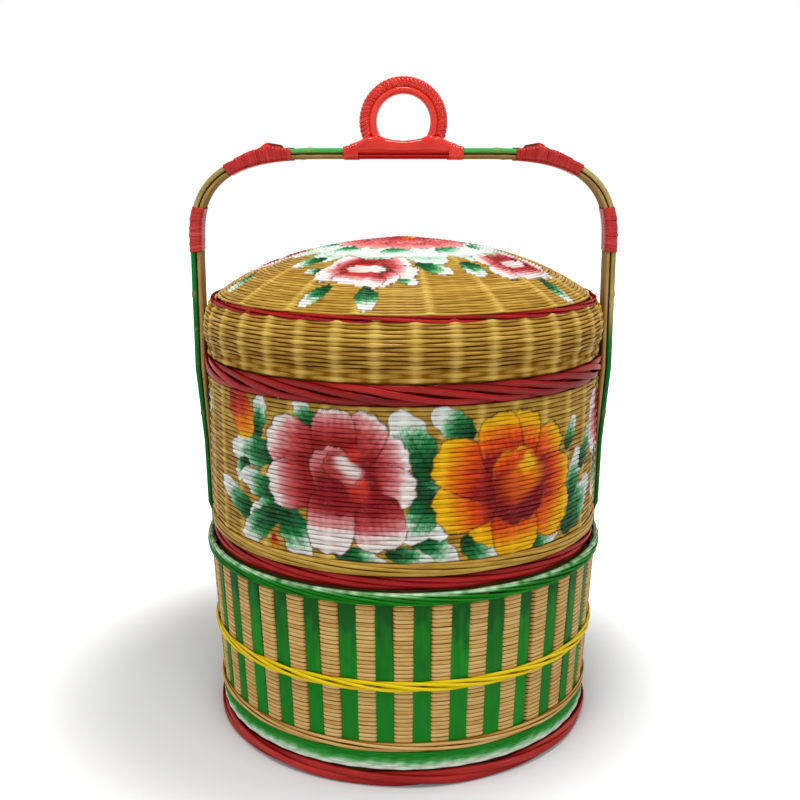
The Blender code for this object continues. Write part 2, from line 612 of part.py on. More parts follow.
def arch_point(share):
    """A point of the arch's right half, from the leg's spring (0) to the flat top (1), on a superellipse."""
    angle = share * math.pi / 2.0
    across = max(math.cos(angle), 0.0) ** (2.0 / ARCH_POWER_SHARE)
    x = LEG_LINE_X - ARCH_BREADTH * (1.0 - across)
    z = ARCH_SPRING_HEIGHT + ARCH_RISE * math.sin(angle) ** (2.0 / ARCH_POWER_SHARE)
    return x, z


def handle_stations(lowest):
    """Both halves of the handle's joint line, left foot to right foot, down to the lowest height wanted."""
    right = []
    for z, x, inner, outer, width in reversed(leg_stations()):
        if z >= lowest:
            right.append((x, z, inner, outer, width))
    for step in range(1, ARCH_STEPS + 1):
        x, z = arch_point(step / ARCH_STEPS)
        right.append((x, z, INNER_STRIP, OUTER_STRIP, STRIP_HALF_WIDTH))
    left = [(-x, z, inner, outer, width) for x, z, inner, outer, width in right]
    return np.array(left + right[::-1])


def outward(stations):
    """The unit normal of the joint line at each station, pointing away from the basket."""
    line = stations[:, :2]
    steps = np.diff(line, axis=0)
    steps /= np.linalg.norm(steps, axis=1)[:, None]
    along = np.vstack([steps[:1], steps[:-1] + steps[1:], steps[-1:]])
    along /= np.linalg.norm(along, axis=1)[:, None]
    return np.column_stack([-along[:, 1], along[:, 0]])


def loft(name, rings, paint):
    """A solid through rings of like point counts, closed at its two ends."""
    made = bmesh.new()
    rows = [[made.verts.new(point) for point in ring] for ring in rings]
    for below, above in zip(rows, rows[1:]):
        for i in range(len(below)):
            j = (i + 1) % len(below)
            made.faces.new((below[i], below[j], above[j], above[i]))
    made.faces.new(rows[0][::-1])
    made.faces.new(rows[-1])
    bmesh.ops.recalc_face_normals(made, faces=made.faces)
    mesh = bpy.data.meshes.new(name)
    made.to_mesh(mesh)
    made.free()
    return place(bpy.data.objects.new(name, mesh), paint)


def strip_ring(line, normal, near, far, half_width):
    """A strip's section: a flat face towards the joint and a crowned face away from it."""
    edge = near + (far - near) * STRIP_CROWN_SHARE
    crown = STRIP_CROWN_SHARE
    corners = ((near, -1.0), (edge, -1.0), (far, -crown), (far, crown), (edge, 1.0), (near, 1.0))
    ring = []
    for distance, across in corners:
        x, z = line + normal * distance
        ring.append((x, across * half_width, z))
    return ring


def handle_strip(name, lowest, outer, paint):
    stations = handle_stations(lowest)
    normals = outward(stations)
    rings = []
    for station, normal in zip(stations, normals):
        near, far = (GAP / 2.0, GAP / 2.0 + station[3]) if outer else (-GAP / 2.0, -GAP / 2.0 - station[2])
        rings.append(strip_ring(station[:2], normal, near, far, station[4]))
    return loft(name, rings, paint)


def right_line():
    """The joint line from the middle of the top down the right leg: points, normals and the run to each."""
    stations = handle_stations(UPPER_RIM_LOW)
    normals = outward(stations)
    on_right = stations[:, 0] > 0.0
    points = np.vstack([[0.0, HANDLE_TOP_HEIGHT], stations[on_right, :2]])
    normals = np.vstack([[0.0, 1.0], normals[on_right]])
    run = np.concatenate([[0.0], np.cumsum(np.linalg.norm(np.diff(points, axis=0), axis=1))])
    return points, normals, run


def line_at(distance):
    """Point, unit direction and outward normal of the right half at a run from the middle of the top."""
    points, normals, run = right_line()
    point = np.array([np.interp(distance, run, points[:, axis]) for axis in range(2)])
    normal = np.array([np.interp(distance, run, normals[:, axis]) for axis in range(2)])
    along = np.array([normal[1], -normal[0]]) / np.linalg.norm(normal)
    return point, along, normal


def loop_corners(inside, outside, half_width, offset):
    """A loop's eight places round a strip's section, as distances along the normal and across."""
    chamfer = offset * (2.0 - math.sqrt(2.0))
    low, high, side = -inside - offset, outside + offset, half_width + offset
    return (
        (high, -side + chamfer),
        (high, side - chamfer),
        (high - chamfer, side),
        (low + chamfer, side),
        (low, side - chamfer),
        (low, -side + chamfer),
        (low + chamfer, -side),
        (high - chamfer, -side),
    )


def ribbon(name, places, half_depth, half_breadth, paint):
    """One unbroken flat cane. Each place is its middle, the way it faces, and the way its breadth lies."""
    rings = []
    for middle, face, along in places:
        ring = []
        for out, side in ((1.0, -1.0), (1.0, 1.0), (-1.0, 1.0), (-1.0, -1.0)):
            ring.append(tuple(middle + face * half_depth * out + along * half_breadth * side))
        rings.append(ring)
    return loft(name, rings, paint)


def least_gap(places, half_breadth):
    """The least clear distance between turns, measured between the middles of neighbouring loops."""
    middles = np.array([place_on[0] for place_on in places])
    between = np.linalg.norm(middles[LOOP_POINTS:] - middles[:-LOOP_POINTS], axis=1)
    return between.min() - 2.0 * half_breadth


def wound_places(start, length, over, side):
    """A helix of loops with cut corners round both strips. over(share) is the height of what lies on them."""
    turns = max(1, round(length / WINDING_PITCH))
    offset = GAP + WINDING_HALF_DEPTH
    places = []
    for step in range(turns * LOOP_POINTS + 1):
        share = step / (turns * LOOP_POINTS)
        place_on, along, normal = line_at(start + length * share)
        inside = GAP / 2.0 + INNER_STRIP
        outside = GAP / 2.0 + OUTER_STRIP + over(share)
        corner = step % LOOP_POINTS
        distance, across = loop_corners(inside, outside, STRIP_HALF_WIDTH, offset)[corner]
        turn = math.tau * (corner - 0.5) / LOOP_POINTS
        x, z = place_on + normal * distance
        face = np.array([-side * along[1] * math.cos(turn), math.sin(turn), along[0] * math.cos(turn)])
        places.append((np.array([side * x, across, z]), face, np.array([side * along[0], 0.0, along[1]])))
    return places


def winding(name, start, length, over, paint):
    """A flat cane wound round both strips, on the right and mirrored on the left."""
    for side, word in ((1.0, "right"), (-1.0, "left")):
        places = wound_places(start, length, over, side)
        ribbon(f"{name}_{word}", places, WINDING_HALF_DEPTH, WINDING_HALF_BREADTH, paint)
    print(f"{name}: least gap {least_gap(places, WINDING_HALF_BREADTH) / MM:.2f} mm")


def run_at(height=None, across=None):
    """The run along the right half where the joint line reaches a height or a distance from the middle."""
    points, _, run = right_line()
    if across is not None:
        return float(np.interp(across, points[:, 0], run))
    return float(np.interp(-height, -points[:, 1], run))


def scarf_height(share):
    """The height of the scarf over the outer strip along its own length."""
    slope = share / SCARF_PEAK_SHARE if share < SCARF_PEAK_SHARE else (1.0 - share) / (1.0 - SCARF_PEAK_SHARE)
    return SCARF_EDGE + (SCARF_RISE - SCARF_EDGE) * slope


def scarf_rise(share):
    """The height of the scarf along the corner winding, which runs past both of its ends."""
    inside = (share - SCARF_MARGIN) / (1.0 - 2.0 * SCARF_MARGIN)
    return scarf_height(inside) if 0.0 < inside < 1.0 else 0.0


def corner_scarf(start):
    """The pointed end of a strip spliced on the outside of the corner, under its winding."""
    for side, name in ((1.0, "corner_scarf_right"), (-1.0, "corner_scarf_left")):
        rings = []
        for share in np.linspace(0.0, 1.0, SCARF_POINTS):
            run = start + CORNER_WINDING_LENGTH * (SCARF_MARGIN + (1.0 - 2.0 * SCARF_MARGIN) * share)
            place_on, _, normal = line_at(run)
            near = GAP / 2.0 + OUTER_STRIP + GAP
            far = near + scarf_height(share) - GAP
            ring = strip_ring(place_on, normal, near, far, STRIP_HALF_WIDTH * STRIP_CROWN_SHARE)
            rings.append([(side * x, y, z) for x, y, z in ring])
        loft(name, rings, RED)


def grip():
    """The hand ring: a cane bent to a ring with its feet laid on the bar, and a finer cane wound round it."""
    top = HANDLE_TOP_HEIGHT + GAP / 2.0 + OUTER_STRIP + GAP
    open_angle = math.radians(GRIP_OPEN_ANGLE)
    points, radii = [], []
    for i in range(GRIP_ARC_POINTS):
        angle = -open_angle + (math.pi + 2.0 * open_angle) * i / (GRIP_ARC_POINTS - 1)
        points.append((GRIP_RADIUS * math.cos(angle), 0.0, GRIP_HEIGHT + GRIP_RADIUS * math.sin(angle)))
        radii.append(GRIP_CANE_RADIUS)
    end_x, end_z = points[0][0], points[0][2]
    foot = []
    flat = GRIP_FLAT_SHARE
    for share, radius in ((1.0, GRIP_TIP_RADIUS), (flat, GRIP_TIP_RADIUS), (flat / 2.0, GRIP_FLARE_RADIUS)):
        lift = max(0.0, 1.0 - share / flat) ** 2
        x = end_x + (GRIP_SPREAD - end_x) * share
        z = top + radius + (end_z - top - radius) * lift
        foot.append(((x, 0.0, z), radius))
    points = [p for p, _ in foot] + points + [(-p[0], p[1], p[2]) for p, _ in reversed(foot)]
    radii = [r for _, r in foot] + radii + [r for _, r in reversed(foot)]
    round_cane("grip_ring", points, GRIP_CANE_RADIUS, RED, radii)

    wound = math.radians(GRIP_WOUND_ANGLE)
    helix = (GRIP_CANE_RADIUS + GAP) / math.cos(math.pi / LOOP_POINTS) + GRIP_WINDING_HALF_DEPTH
    turns = []
    for step in range(GRIP_TURNS * LOOP_POINTS + 1):
        angle = -wound + (math.pi + 2.0 * wound) * step / (GRIP_TURNS * LOOP_POINTS)
        lay = math.tau * step / LOOP_POINTS
        out = np.array([math.cos(angle), 0.0, math.sin(angle)])
        face = out * math.cos(lay) + np.array([0.0, math.sin(lay), 0.0])
        middle = np.array([0.0, 0.0, GRIP_HEIGHT]) + out * GRIP_RADIUS + face * helix
        turns.append((middle, face, np.array([-math.sin(angle), 0.0, math.cos(angle)])))
    ribbon("grip_winding", turns, GRIP_WINDING_HALF_DEPTH, GRIP_WINDING_HALF_BREADTH, RED)
    print(f"grip_winding: least gap {least_gap(turns, GRIP_WINDING_HALF_BREADTH) / MM:.2f} mm")

    mesh = bpy.data.meshes.new("grip_saddle")
    block = bmesh.new()
    bmesh.ops.create_cube(block, size=1.0)
    size = (2.0 * SADDLE_HALF_LENGTH, 2.0 * SADDLE_HALF_WIDTH, SADDLE_HEIGHT)
    bmesh.ops.scale(block, vec=size, verts=block.verts)
    block.to_mesh(mesh)
    block.free()
    saddle = place(bpy.data.objects.new("grip_saddle", mesh), RED)
    saddle.location = (0.0, 0.0, top + SADDLE_HEIGHT / 2.0)
    edge = saddle.modifiers.new("edge", "BEVEL")
    edge.width = SADDLE_EDGE
    edge.segments = 2


def lashing(name, side, middle):
    """A cane staple over a leg, its two ends bearing on the wall between the slats."""
    seat = base_wall_radius(middle) + GAP
    inner = STRIP_ROOT_HALF_WIDTH + GAP
    outer = inner + LASHING_THICKNESS
    face = OUTER_STRIP_ROOT + GAP
    outline = [
        (0.0, -outer),
        (face + LASHING_THICKNESS, -outer),
        (face + LASHING_THICKNESS, outer),
        (0.0, outer),
        (0.0, inner),
        (face, inner),
        (face, -inner),
        (0.0, -inner),
    ]
    data = bpy.data.curves.new(name, "CURVE")
    data.dimensions = "2D"
    data.fill_mode = "BOTH"
    data.extrude = LASHING_HEIGHT / 2.0
    spline = data.splines.new("POLY")
    spline.points.add(len(outline) - 1)
    for point, (x, y) in zip(spline.points, outline):
        point.co = (x, y, 0.0, 1.0)
    spline.use_cyclic_u = True
    obj = place(bpy.data.objects.new(name, data), GREEN)
    slope = math.atan2(BASE_WALL_TOP_RADIUS - BASE_WALL_FOOT_RADIUS, BASE_WALL_HEIGHT)
    obj.location = (side * seat, 0.0, middle)
    obj.rotation_euler = (0.0, slope, 0.0) if side > 0 else (0.0, slope, math.pi)
    return obj


def handle():
    handle_strip("handle_outer_strip", LEG_FOOT, True, GREEN)
    handle_strip("handle_inner_strip", INNER_TIP_HEIGHT, False, NATURAL)
    leg_start = run_at(height=ARCH_SPRING_HEIGHT - LEG_WINDING_DROP) - LEG_WINDING_LENGTH
    winding("leg_winding", leg_start, LEG_WINDING_LENGTH, lambda share: 0.0, RED)
    corner_start = run_at(across=LEG_LINE_X - CORNER_WINDING_INSET)
    winding("corner_winding", corner_start, CORNER_WINDING_LENGTH, scarf_rise, RED)
    corner_scarf(corner_start)
    foot_depth = GAP + 2.0 * GRIP_TIP_RADIUS
    winding("grip_binding", BINDING_START, BINDING_LENGTH, lambda share: foot_depth, RED)
    grip()
    rim_middle = RIM_WEAVE_LOW - LASHING_DROP - LASHING_HEIGHT / 2.0
    foot_middle = WINDOW_LOW + LASHING_DROP + LASHING_HEIGHT / 2.0
    for side, word in ((1.0, "right"), (-1.0, "left")):
        lashing(f"rim_lashing_{word}", side, rim_middle)
        lashing(f"foot_lashing_{word}", side, foot_middle)


lower_tier()
upper_tier()
lid()
handle()
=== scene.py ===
"""A tiered bamboo food basket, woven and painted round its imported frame.

Lengths are in metres, +Z is up, and the front looks along -Y. Turns round the basket are counted from the front,
positive towards +X.
"""

import math

import bpy
import numpy as np
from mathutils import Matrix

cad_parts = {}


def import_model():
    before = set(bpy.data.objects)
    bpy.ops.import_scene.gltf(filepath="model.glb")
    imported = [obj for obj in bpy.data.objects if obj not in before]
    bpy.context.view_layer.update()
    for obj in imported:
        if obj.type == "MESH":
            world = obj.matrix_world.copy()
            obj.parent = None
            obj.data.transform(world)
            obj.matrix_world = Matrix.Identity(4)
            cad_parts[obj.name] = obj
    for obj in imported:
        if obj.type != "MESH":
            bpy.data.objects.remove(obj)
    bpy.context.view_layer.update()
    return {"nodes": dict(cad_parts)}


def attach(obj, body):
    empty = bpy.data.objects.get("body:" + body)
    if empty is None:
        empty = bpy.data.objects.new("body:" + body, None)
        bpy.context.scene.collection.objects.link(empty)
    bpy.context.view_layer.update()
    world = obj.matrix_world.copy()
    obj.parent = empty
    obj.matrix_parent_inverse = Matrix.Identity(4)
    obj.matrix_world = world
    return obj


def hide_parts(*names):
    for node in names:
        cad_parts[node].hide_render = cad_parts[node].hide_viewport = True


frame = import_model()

MM = 0.001
UP = np.array([0.0, 0.0, 1.0])

# Camera, as fitted to the hoops in the photograph
CAMERA_PLACE = (-0.0026, -0.8195, 0.4241)
CAMERA_PITCH = 12.14  # degrees below level
CAMERA_LENS = 47.5
SENSOR_WIDTH = 36.0

# Weave
STAKES = 36
SLATS = 36
SECTION_POINTS = 8
FINE_STATIONS = 1188
STATIONS = 720
CORD_STATIONS = 720

# Lower tier
BASE_WALL_LOW = 12.5 * MM
BASE_WALL_HIGH = 148.1 * MM
BASE_WALL_FOOT_RADIUS = 144.2 * MM
BASE_WALL_TOP_RADIUS = 151.9 * MM
WEFT_PITCH = 3.15 * MM
SLAT_HALF_THICKNESS = 0.62 * MM
SLAT_SHARE = 0.52
SLAT_WEFT_STATIONS = 576
DOME_STATIONS = 1080
SECTION_ANGLES = np.radians([0.0, 35.0, 70.0, 105.0, 180.0, 255.0, 290.0, 325.0])


def section_angles(points):
    """Angles of a section's points. The common one has most of its points on the outer side."""
    if points == SECTION_POINTS:
        return SECTION_ANGLES
    return np.arange(points) / points * math.tau
SLAT_STATIONS = 60
SLAT_SECTION_POINTS = 16

# Upper tier and lid
ROW_PITCH = 3.16 * MM
ROWS_IN_A_PIECE = 10
BAND_ROW_PITCH = 2.95 * MM
DOME_ROW_PITCH = 2.75 * MM
DOME_PROFILE = (  # radius and height of the dome's outer face, in millimetres
    (0.0, 376.5),
    (28.6, 373.3),
    (60.1, 368.9),
    (93.8, 359.7),
    (118.0, 349.4),
    (143.2, 333.9),
)

# Handle
JOINT_TOP = 438.0 * MM
ARCH_SPRING = 370.0 * MM
ARCH_FLAT_HALF = 60.0 * MM
ARCH_POWER = 2.8
LEG_TOP_X = 157.98 * MM
LEG_WAIST_X = 154.55 * MM
LEG_WAIST_HEIGHT = 217.1 * MM
LEG_TIP_X = 153.85 * MM
LEG_TIP_HEIGHT = 165.5 * MM
LEG_ROOT_X = 152.35 * MM
LEG_RIM_X = 151.53 * MM
LEG_RIM_HEIGHT = 138.9 * MM
LEG_FOOT_X = 145.16 * MM
LEG_FOOT_HEIGHT = 26.7 * MM
OUTER_STRIP = 4.4 * MM
INNER_STRIP = 3.6 * MM
STRIP_HALF_WIDTH = 10.0 * MM
STRIP_GAP = 0.1 * MM


# Small tools

def turn_of(angle):
    """The outward unit vectors at turns round the basket."""
    return np.stack([np.sin(angle), -np.cos(angle), np.zeros_like(angle)], axis=-1)


def turns(count):
    return (np.arange(count) + 0.5) / count * math.tau - math.pi


def smooth(value, low, high):
    share = np.clip((value - low) / (high - low), 0.0, 1.0)
    return share * share * (3.0 - 2.0 * share)


def wander(angle, seed, waves=(3, 7, 13, 22)):
    """A slow even drift round a ring, between about -1 and 1."""
    rng = np.random.default_rng(seed)
    total = np.zeros_like(angle)
    for wave in waves:
        total = total + np.sin(angle * wave + rng.uniform(0.0, math.tau)) / math.sqrt(len(waves))
    return total


def oval(points, half_depth, half_height, power=2.0):
    """A cane's section as distances out and up, starting at its outer side."""
    angle = section_angles(points)
    out, up = np.cos(angle), np.sin(angle)
    size = (np.abs(out) ** power + np.abs(up) ** power) ** (1.0 / power)
    return np.stack([out / size * half_depth, up / size * half_height], axis=-1)


def pinched(half_depth, half_height):
    """A weft's section between stakes: narrow outside, and wide enough behind to close the wall."""
    out = np.array([0.72, 0.50, -0.10, -0.62, -1.0, -0.62, -0.10, 0.50])
    up = np.array([0.0, 0.40, 0.76, 1.0, 0.0, -1.0, -0.76, -0.40])
    return np.stack([out * half_depth, up * half_height], axis=-1)


def row_grid(count, width, closed):
    """Corner numbers of the quads on one strand of the given stations and section points."""
    stations = np.arange(count if closed else count - 1)
    sides = np.arange(width)
    here, side = np.meshgrid(stations, sides, indexing="ij")
    after = (here + 1) % count
    beside = (side + 1) % width
    quads = [here * width + side, after * width + side, after * width + beside, here * width + beside]
    return np.stack(quads, axis=-1).reshape(-1, 4)


def cap_grid(start, width, flip):
    """Quads that close a strand's end."""
    quads = []
    for i in range(width // 2 - 1):
        quad = [start + i, start + i + 1, start + width - 2 - i, start + width - 1 - i]
        quads.append(quad[::-1] if flip else quad)
    return quads


def strands(name, points, closed, paint, body, replaced=(), fields=None, colour=None):
    """One piece from points of the shape strands, stations, section, three."""
    count, stations, width = points.shape[:3]
    one = row_grid(stations, width, closed)
    if not closed:
        caps = cap_grid(0, width, False) + cap_grid((stations - 1) * width, width, True)
        one = np.vstack([one, np.array(caps)])
    starts = np.arange(count)[:, None, None] * stations * width
    faces = (one[None] + starts).reshape(-1, 4)
    co = points.reshape(-1, 3)
    mesh = bpy.data.meshes.new(name)
    mesh.vertices.add(len(co))
    mesh.vertices.foreach_set("co", co.astype(np.float32).ravel())
    mesh.loops.add(faces.size)
    mesh.loops.foreach_set("vertex_index", faces.astype(np.int32).ravel())
    mesh.polygons.add(len(faces))
    mesh.polygons.foreach_set("loop_start", np.arange(0, faces.size, 4, dtype=np.int32))
    mesh.polygons.foreach_set("use_smooth", np.ones(len(faces), dtype=bool))
    mesh.update(calc_edges=True)
    for field, values in (fields or {}).items():
        spread = np.broadcast_to(values, (*points.shape[:3], 3)).reshape(-1, 3)
        made = mesh.attributes.new(field, "FLOAT_VECTOR", "POINT")
        made.data.foreach_set("vector", spread.astype(np.float32).ravel())
    if colour is not None:
        made = mesh.attributes.new("paint", "FLOAT_COLOR", "POINT")
        made.data.foreach_set("color", colour.reshape(-1, 4).astype(np.float32).ravel())
    mesh.validate()
    obj = bpy.data.objects.new(name, mesh)
    bpy.context.scene.collection.objects.link(obj)
    mesh.materials.append(paint)
    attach(obj, body)
    if replaced:
        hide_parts(*replaced)
    return obj


def strand_fields(points, along, seeds, depth, ridge, shaded_edges=1.0):
    """What the materials need at each point: where it is on its strand, and its painted shade and highlight, from how
    deep it lies, its edges and its ridge.
    """
    count, stations, width = points.shape[:3]
    section = section_angles(width)
    shape = (count, stations, width)
    across = np.broadcast_to(np.sin(section), shape)
    lay = np.stack([
        np.broadcast_to(along[..., None], shape),
        across,
        np.broadcast_to(seeds[:, None, None], shape),
    ], axis=-1)
    # Painted shade at the upper and lower edges of each strand, where it meets its neighbours, less on a ridge
    bare_edge = (1.0 - 0.35 * np.broadcast_to(ridge[..., None], shape)) * shaded_edges
    edge = np.broadcast_to(np.abs(np.sin(section)), shape) * bare_edge
    # Painted shade on the strand's back, facing into the wall
    inside = np.broadcast_to(np.where(np.cos(section) < -0.5, 0.85, 0.0), shape) * shaded_edges
    sunk = np.maximum(np.broadcast_to(depth[..., None], shape), inside)
    # Painted light per point: edge shade, depth shade, and the ridge that gets a painted highlight
    painted_light = np.stack([edge, sunk, np.broadcast_to(ridge[..., None], shape)], axis=-1)
    return {"strand": lay, "painted_light": painted_light}


# Painting, in millimetres along the wall and up it

PINK_TONES = (
    (0.0, (0.16, 0.003, 0.004)),
    (0.42, (0.36, 0.010, 0.010)),
    (0.62, (0.60, 0.065, 0.07)),
    (0.80, (0.88, 0.38, 0.39)),
    (0.92, (0.99, 0.90, 0.86)),
    (1.0, (0.99, 0.98, 0.95)),
)
ORANGE_TONES = (
    (0.0, (0.16, 0.005, 0.010)),
    (0.42, (0.36, 0.010, 0.008)),
    (0.62, (0.84, 0.075, 0.002)),
    (0.80, (0.98, 0.30, 0.001)),
    (0.93, (0.99, 0.54, 0.001)),
    (1.0, (0.99, 0.64, 0.002)),
)
LEAF_TONES = (
    (0.0, (0.002, 0.045, 0.012)),
    (0.26, (0.003, 0.11, 0.028)),
    (0.44, (0.010, 0.25, 0.06)),
    (0.57, (0.20, 0.58, 0.30)),
    (0.70, (0.88, 0.96, 0.89)),
    (1.0, (0.99, 0.99, 0.97)),
)
PALE_LEAF_TONES = (
    (0.0, (0.004, 0.15, 0.04)),
    (0.30, (0.015, 0.32, 0.09)),
    (0.48, (0.20, 0.62, 0.36)),
    (0.66, (0.74, 0.94, 0.80)),
    (1.0, (0.97, 0.99, 0.96)),
)
ROSE_TONES = (
    (0.0, (0.36, 0.010, 0.014)),
    (0.42, (0.62, 0.05, 0.06)),
    (0.80, (0.80, 0.16, 0.16)),
    (0.94, (0.90, 0.34, 0.33)),
    (1.0, (0.94, 0.50, 0.47)),
)
HEART_RED = ((0.0, (0.80, 0.07, 0.04)), (0.5, (0.62, 0.03, 0.025)), (1.0, (0.40, 0.01, 0.014)))
HEART_DARK = ((0.0, (0.22, 0.004, 0.008)), (1.0, (0.34, 0.006, 0.014)))
HEART_ORANGE = ((0.0, (0.50, 0.02, 0.004)), (0.6, (0.88, 0.16, 0.003)), (1.0, (0.97, 0.34, 0.003)))
RED_GLOW = ((0.0, (0.46, 0.012, 0.012)), (0.5, (0.74, 0.05, 0.03)), (1.0, (0.40, 0.01, 0.014)))
BLUSH_TONES = ((0.0, (0.36, 0.010, 0.010)), (0.5, (0.62, 0.07, 0.07)), (1.0, (0.86, 0.36, 0.38)))
HEART_YELLOW = ((0.0, (0.97, 0.42, 0.004)), (1.0, (0.99, 0.66, 0.006)))


def row_jitter(v, seed):
    """An even random share for each row of weft, since the brush skips from row to row."""
    row = np.floor(v / (ROW_PITCH / MM))
    scattered = np.sin(row * 12.9898 + seed * 78.233) * 43758.5453
    return scattered - np.floor(scattered) - 0.5
BUD_TONES = (
    (0.0, (0.30, 0.01, 0.012)),
    (0.4, (0.62, 0.03, 0.01)),
    (0.7, (0.92, 0.26, 0.006)),
    (1.0, (0.98, 0.60, 0.01)),
)
WHITE_TONES = ((0.0, (0.86, 0.50, 0.48)), (0.5, (0.95, 0.84, 0.78)), (1.0, (0.97, 0.95, 0.90)))
OUTLINE = np.array([0.035, 0.006, 0.006])


def tone(share, stops):
    at = [stop[0] for stop in stops]
    return np.stack([np.interp(share, at, [stop[1][c] for stop in stops]) for c in range(3)], axis=-1)


def brush(u, v, seed):
    """Uneven brush work, between about -1 and 1."""
    rng = np.random.default_rng(seed)
    total = np.zeros_like(u)
    for size in (9.0, 4.0, 2.2, 1.4):
        for _ in range(2):
            heading = rng.uniform(0.0, math.tau)
            wave = (u * math.cos(heading) + v * math.sin(heading)) * math.tau / size
            total = total + np.sin(wave + rng.uniform(0.0, math.tau)) * 0.35
    return total


class Canvas:
    """Colour and cover at places on a wall, painted over in turn."""

    def __init__(self, u, v):
        self.u, self.v = u, v
        self.colour = np.zeros((*u.shape, 3))
        self.cover = np.zeros(u.shape)
        self.seed = 0

    def lay(self, colour, cover):
        self.colour = self.colour * (1.0 - cover[..., None]) + colour * cover[..., None]
        self.cover = np.maximum(self.cover, cover)

    def petal(self, centre, heading, start, reach, half, tones, bloom=0.8, power=3.0, lobes=0.035, line=0.5,
              soft=0.02):
        """A rounded petal from start to reach along its heading in degrees, dark at its root.

        bloom is the share of its length at which the palest tones start.
        """
        self.seed += 1
        turn = math.radians(heading)
        du, dv = self.u - centre[0], self.v - centre[1]
        x = du * math.cos(turn) + dv * math.sin(turn)
        y = -du * math.sin(turn) + dv * math.cos(turn)
        rough = brush(self.u, self.v, self.seed) * 0.5
        middle, length = (start + reach) / 2.0, (reach - start) / 2.0
        length = length * (1.0 + lobes * np.cos(3.2 * math.pi * y / half + self.seed))
        q = (np.abs((x - middle) / length) ** power + np.abs(y / half) ** power) ** (1.0 / power)
        q = q + rough * 0.02 + row_jitter(self.v, self.seed + 50) * 0.03
        share = np.clip((x - start) / (reach - start), 0.0, 1.0)
        share = share + 0.10 * (np.clip(q, 0.0, 1.0) ** 3 - 0.35) * smooth(share, 0.3, 0.9)
        share = share + 0.02 * np.sin(y * 1.3 + self.seed) + 0.04 * rough + 0.10 * row_jitter(self.v, self.seed)
        share = np.interp(share, (-0.2, bloom - 0.40, bloom, bloom + 0.15, 1.25), (0.0, 0.42, 0.78, 0.93, 1.0))
        cover = 1.0 - smooth(q, 1.0 - soft, 1.0 + soft)
        self.lay(tone(share, tones), cover)
        if line:
            ring = np.exp(-(((q - 1.0) * half) / line) ** 2) * smooth(rough, -0.6, -0.05)
            self.lay(OUTLINE, np.clip(ring, 0.0, 1.0) * 0.85)

    def leaf(self, base, tip, half, tones=LEAF_TONES, vein=True, belly=0.52):
        """A broad leaf, dark at its base and pale at its tip, with teeth along its edge."""
        self.seed += 1
        along = np.array(tip) - np.array(base)
        length = np.hypot(*along)
        along = along / length
        du, dv = self.u - base[0], self.v - base[1]
        x = (du * along[0] + dv * along[1]) / length
        y = -du * along[1] + dv * along[0]
        rough = brush(self.u, self.v, self.seed) * 0.5
        inside = np.clip(x, 0.0, 1.0)
        width = half * (np.sin(math.pi * inside ** (math.log(0.5) / math.log(belly)))) ** 0.45
        width = width * (1.0 + 0.09 * np.cos(x * math.tau * 3.5 + self.seed)) + 0.2
        q = np.abs(y) / width + row_jitter(self.v, self.seed + 50) * 0.08
        share = 0.02 + 0.92 * x + 0.10 * (q - 0.5) + 0.10 * rough + 0.13 * row_jitter(self.v, self.seed)
        cover = (1.0 - smooth(q, 0.94, 1.04)) * smooth(x, -0.02, 0.03) * (1.0 - smooth(x, 0.97, 1.02))
        self.lay(tone(share, tones), cover)
        edge = np.exp(-(((q - 1.0) * width) / 0.5) ** 2) * smooth(rough, -0.1, 0.35) * smooth(x, 0.0, 0.1)
        self.lay(np.array([0.006, 0.02, 0.01]), np.clip(edge * (1.0 - smooth(x, 0.95, 1.0)), 0.0, 1.0) * 0.8)
        if vein:
            line = np.exp(-(y / 0.5) ** 2) * smooth(x, 0.05, 0.15) * (1.0 - smooth(x, 0.6, 0.8))
            self.lay(np.array([0.002, 0.02, 0.008]), line * cover * 0.6)

    def result(self):
        return np.concatenate([self.colour, self.cover[..., None]], axis=-1)


PINK_PETALS = (  # place of the root, heading in degrees, start, reach and half breadth in millimetres, and bloom
    ((0.0, 0.0), 22.0, 6.0, 53.0, 16.0, 0.80),
    ((0.0, 0.0), -8.0, 8.0, 55.0, 15.0, 0.72),
    ((29.0, -31.0), -76.0, -20.0, 19.0, 18.5, 0.66),
    ((0.0, 0.0), 150.0, 6.0, 59.5, 19.5, 0.76),
    ((0.0, 0.0), -167.0, 8.0, 55.0, 18.0, 0.72),
    ((0.0, 0.0), 57.0, 6.0, 51.5, 15.5, 0.84),
    ((0.0, 0.0), 92.0, 6.0, 47.0, 16.0, 0.88),
    ((-3.0, 0.0), -92.0, 10.0, 54.0, 17.5, 0.50),
)
ORANGE_PETALS = (
    ((0.0, 0.0), 36.0, 8.0, 56.0, 14.5, 0.76),
    ((0.0, 0.0), -31.0, 6.0, 64.0, 21.0, 0.72),
    ((0.0, 0.0), 2.0, 10.0, 58.0, 15.0, 0.82),
    ((0.0, 0.0), -118.0, 8.0, 45.0, 16.0, 0.64),
    ((0.0, 0.0), -163.0, 8.0, 56.5, 19.0, 0.66),
    ((0.0, 0.0), 156.0, 6.0, 59.0, 19.0, 0.68),
    ((0.0, 0.0), 73.0, 10.0, 52.0, 15.0, 0.70),
    ((0.0, 0.0), 103.0, 8.0, 51.0, 17.0, 0.72),
    ((0.0, 0.0), -80.0, 12.0, 54.0, 19.0, 0.58),
)
